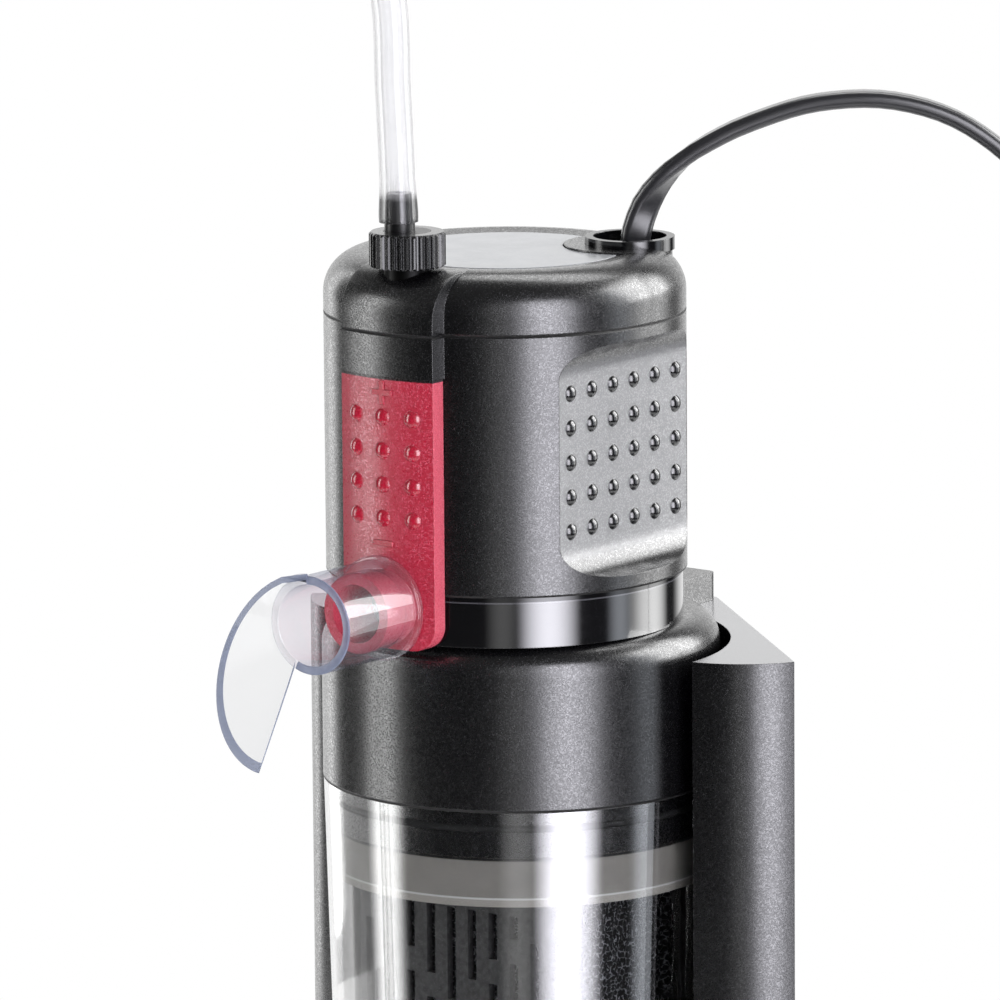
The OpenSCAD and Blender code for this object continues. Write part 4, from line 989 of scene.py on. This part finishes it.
def nozzle():
    """Outlet tube with a flared scoop that is cut by two slanting planes."""
    axis_z, front = HEAD + 6.65, NOZZLE_FRONT
    tube_r, bore_r, seat_r = 8.4, 6.95, 6.5  # outside, bore, and bead that grips the spigot
    flare, wall, thinning = 1.235, 1.55, 0.035  # the scoop's growth and its wall's loss are per mm
    lean, turn, tilt = (math.radians(a) for a in (19.8, 22, 11))
    # each cut is a plane: its direction, and its place along that, with z towards the front
    rim = np.array((0, math.sin(lean), math.cos(lean)))
    rim_at = rim @ np.array((0, 0, front + 3.7))
    cut = np.array((math.cos(turn) * math.cos(tilt), -math.cos(turn) * math.sin(tilt), -math.sin(turn)))
    cut_at = cut @ np.array((0, 9.05, front + 0.4))

    def on_cone(s, angle, inset):
        r = tube_r + flare * s - inset * (1 - thinning * s)
        return np.array((r * math.cos(angle), r * math.sin(angle), front + s))

    def inside(s, angle, inset):
        p = on_cone(s, angle, inset)
        return p @ rim <= rim_at and p @ cut <= cut_at

    def limit(s, good, bad, inset):
        """Angle where the cone leaves the cuts, between one inside them and one outside."""
        for _ in range(24):
            middle = (good + bad) / 2
            good, bad = (middle, bad) if inside(s, middle, inset) else (good, middle)
        return good

    def kept(s, inset):
        """First and last angle of the cone's arc between the two cuts."""
        angles = np.linspace(0, 2 * math.pi, 181)
        step = math.radians(2)
        ok = [a for a in angles if inside(s, a, inset)]
        if not ok:
            return None
        return limit(s, ok[0], ok[0] - step, inset), limit(s, ok[-1], ok[-1] + step, inset)

    def last(inset):
        s = 0.0
        while kept(s + 0.05, inset):
            s += 0.05
        return s

    def world(p):
        return (p[0], -p[2], axis_z + p[1])

    rows, columns = 44, 56
    places = {}
    for inset in (0.0, wall):
        tip = last(inset)
        for j in range(rows + 1):
            s = tip * (1 - (1 - j / rows) ** 1.6)
            low, high = kept(s, inset) or kept(s - 0.05, inset)
            for k in range(columns + 1):
                places[inset, j, k] = on_cone(s, low + (high - low) * k / columns, inset)
    number = {key: n for n, key in enumerate(places)}
    skin = []
    for inset in (0.0, wall):
        for j in range(rows):
            for k in range(columns):
                corners = ((j, k), (j + 1, k), (j + 1, k + 1), (j, k + 1))
                skin.append(tuple(number[inset, *c] for c in corners))
    scoop = Shape().add([world(p) for p in places.values()], skin)

    def edge(a, b, mark):
        """Face between the outer and the inner skin, from one place to the next."""
        scoop.faces.append((number[0.0, *a], number[0.0, *b], number[wall, *b], number[wall, *a]))
        scoop.marks.append(mark)

    for j in range(rows):
        for k in (0, columns):
            edge((j, k), (j + 1, k), 1)
    for k in range(columns):
        for j in (0, rows):
            edge((j, k), (j, k + 1), 1 if j else 0)  # row 0 is hidden in the tube's rim

    sides, rim_r, foot = 96, 0.28, front - 0.3
    bead = [(seat_r, 35), (seat_r, 34.5, 0.25), (9.0, 34.5, 0.4), (9.0, 36.0, 0.5), (tube_r, 36.1, 0.2)]
    outside = rounded([*bead, (tube_r, foot)], closed=False)
    rim_corners = [(tube_r, front, rim_r), (bore_r, front, rim_r)]
    ring = rounded([(tube_r, foot), *rim_corners, (bore_r, foot)], closed=False)
    bore = [(bore_r, foot), (bore_r, 36.9), (6.6, 36.5), (seat_r, 36.2)]
    tube = Shape().turned([*outside, *ring[1:-1], *bore], (0, axis_z), sides)
    first = len(outside) - 1
    open_from, open_to = kept(0.0, 0.0)
    for n, face in enumerate(tube.faces):
        middle = np.mean([tube.points[c] for c in face], axis=0)
        angle = math.atan2(middle[2] - axis_z, middle[0]) % math.tau
        free = not (open_from < angle < open_to or open_from < angle - math.tau < open_to)
        on_rim = first <= n // sides < first + len(ring) - 1
        if on_rim and free:  # where no scoop grows on the rim
            tube.marks[n] = 1
    piece("clear_nozzle", "nozzle", joined(tube, scoop), [SCOOP, SCOOP_EDGE], ["nozzle"], 40)


# ---------- foam ----------


def foam(node):
    """Open-cell foam block with worn edges and a pitted skin."""
    room, step, pit, dent = 0.35, 1.3, 0.28, 0.3
    low, high = (np.array(c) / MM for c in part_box(node))
    low, high = low + room, high - room
    shape = Shape()
    size = high - low
    rng = np.random.default_rng(7)
    counts = np.maximum(2, np.round(size / step).astype(int))
    for axis in range(3):
        u, v = [a for a in range(3) if a != axis]
        for side in (0, 1):
            grid = []
            for i in range(counts[u] + 1):
                for k in range(counts[v] + 1):
                    p = np.zeros(3)
                    p[axis] = side
                    p[u], p[v] = i / counts[u], k / counts[v]
                    grid.append(low + p * size)
            n = counts[v] + 1
            faces = [
                (i * n + k, (i + 1) * n + k, (i + 1) * n + k + 1, i * n + k + 1)
                for i in range(counts[u])
                for k in range(counts[v])
            ]
            shape.add(grid, faces)
    middle = (low + high) / 2
    table = {}
    for i, p in enumerate(shape.points):
        key = tuple(round(c, 3) for c in p)
        if key not in table:
            table[key] = rng.uniform(-1, 1, 3)
        q = np.array(p)
        out = (q - middle) / (size / 2)
        on_skin = np.abs(out) > 0.999
        near_edge = np.sort(np.abs(out))[1] > 0.96
        pull = np.sign(out) * on_skin * dent * (1 + near_edge * 0.9)
        shape.points[i] = tuple(q + table[key] * pit - pull)
    made = piece(node + "_block", "canister", shape, [FOAM], [node], 75)


# ---------- finishes of the rigid nodes ----------


FINISHES = {
    "holder": BLACK, "suction_cups": RUBBER, "jar": CLEAR, "collar": COLLAR_BLACK, "collar_seal": SEAL,
    "upper_cartridge_rim": RIM, "lower_cartridge_rim": RIM,
    "upper_cartridge": BASKET, "lower_cartridge": BASKET,
    "neck": GLOSS, "neck_seal": SEAL, "volute_cover": POTTING, "lower_bush": SEAL, "upper_bush": SEAL,
    "shaft": CERAMIC, "impeller": WHITE, "rotor_magnet": MAGNET, "stator": POTTING, "air_pipe": KNOB,
    "head_shell": GRIP, "cap": CAP_BLACK, "top_disc": DISC, "cable_gland": GLOSS, "strain_relief": RUBBER,
    "flow_slider": RED, "air_nipple": NIPPLE, "air_knob": KNOB, "air_intake": KNOB, "plug_pins": PIN,
}  # fmt: skip
for node, material in FINISHES.items():
    mesh = nodes[node].data
    mesh.materials.clear()
    mesh.materials.append(material)

lead_piece, lead_path = lead()
hose_piece, hose_path = hose()
plug_piece, strap = plug(), tie()
nozzle()
for name in ("upper_foam", "lower_foam"):
    foam(name)

[c * MM for c in lead_path[0]]
reach(lead_path) * MM
[[c * MM for c in p] for p in lead_path]
[c * MM for c in hose_path[0]]
reach(hose_path) * MM
[[c * MM for c in p] for p in hose_path]
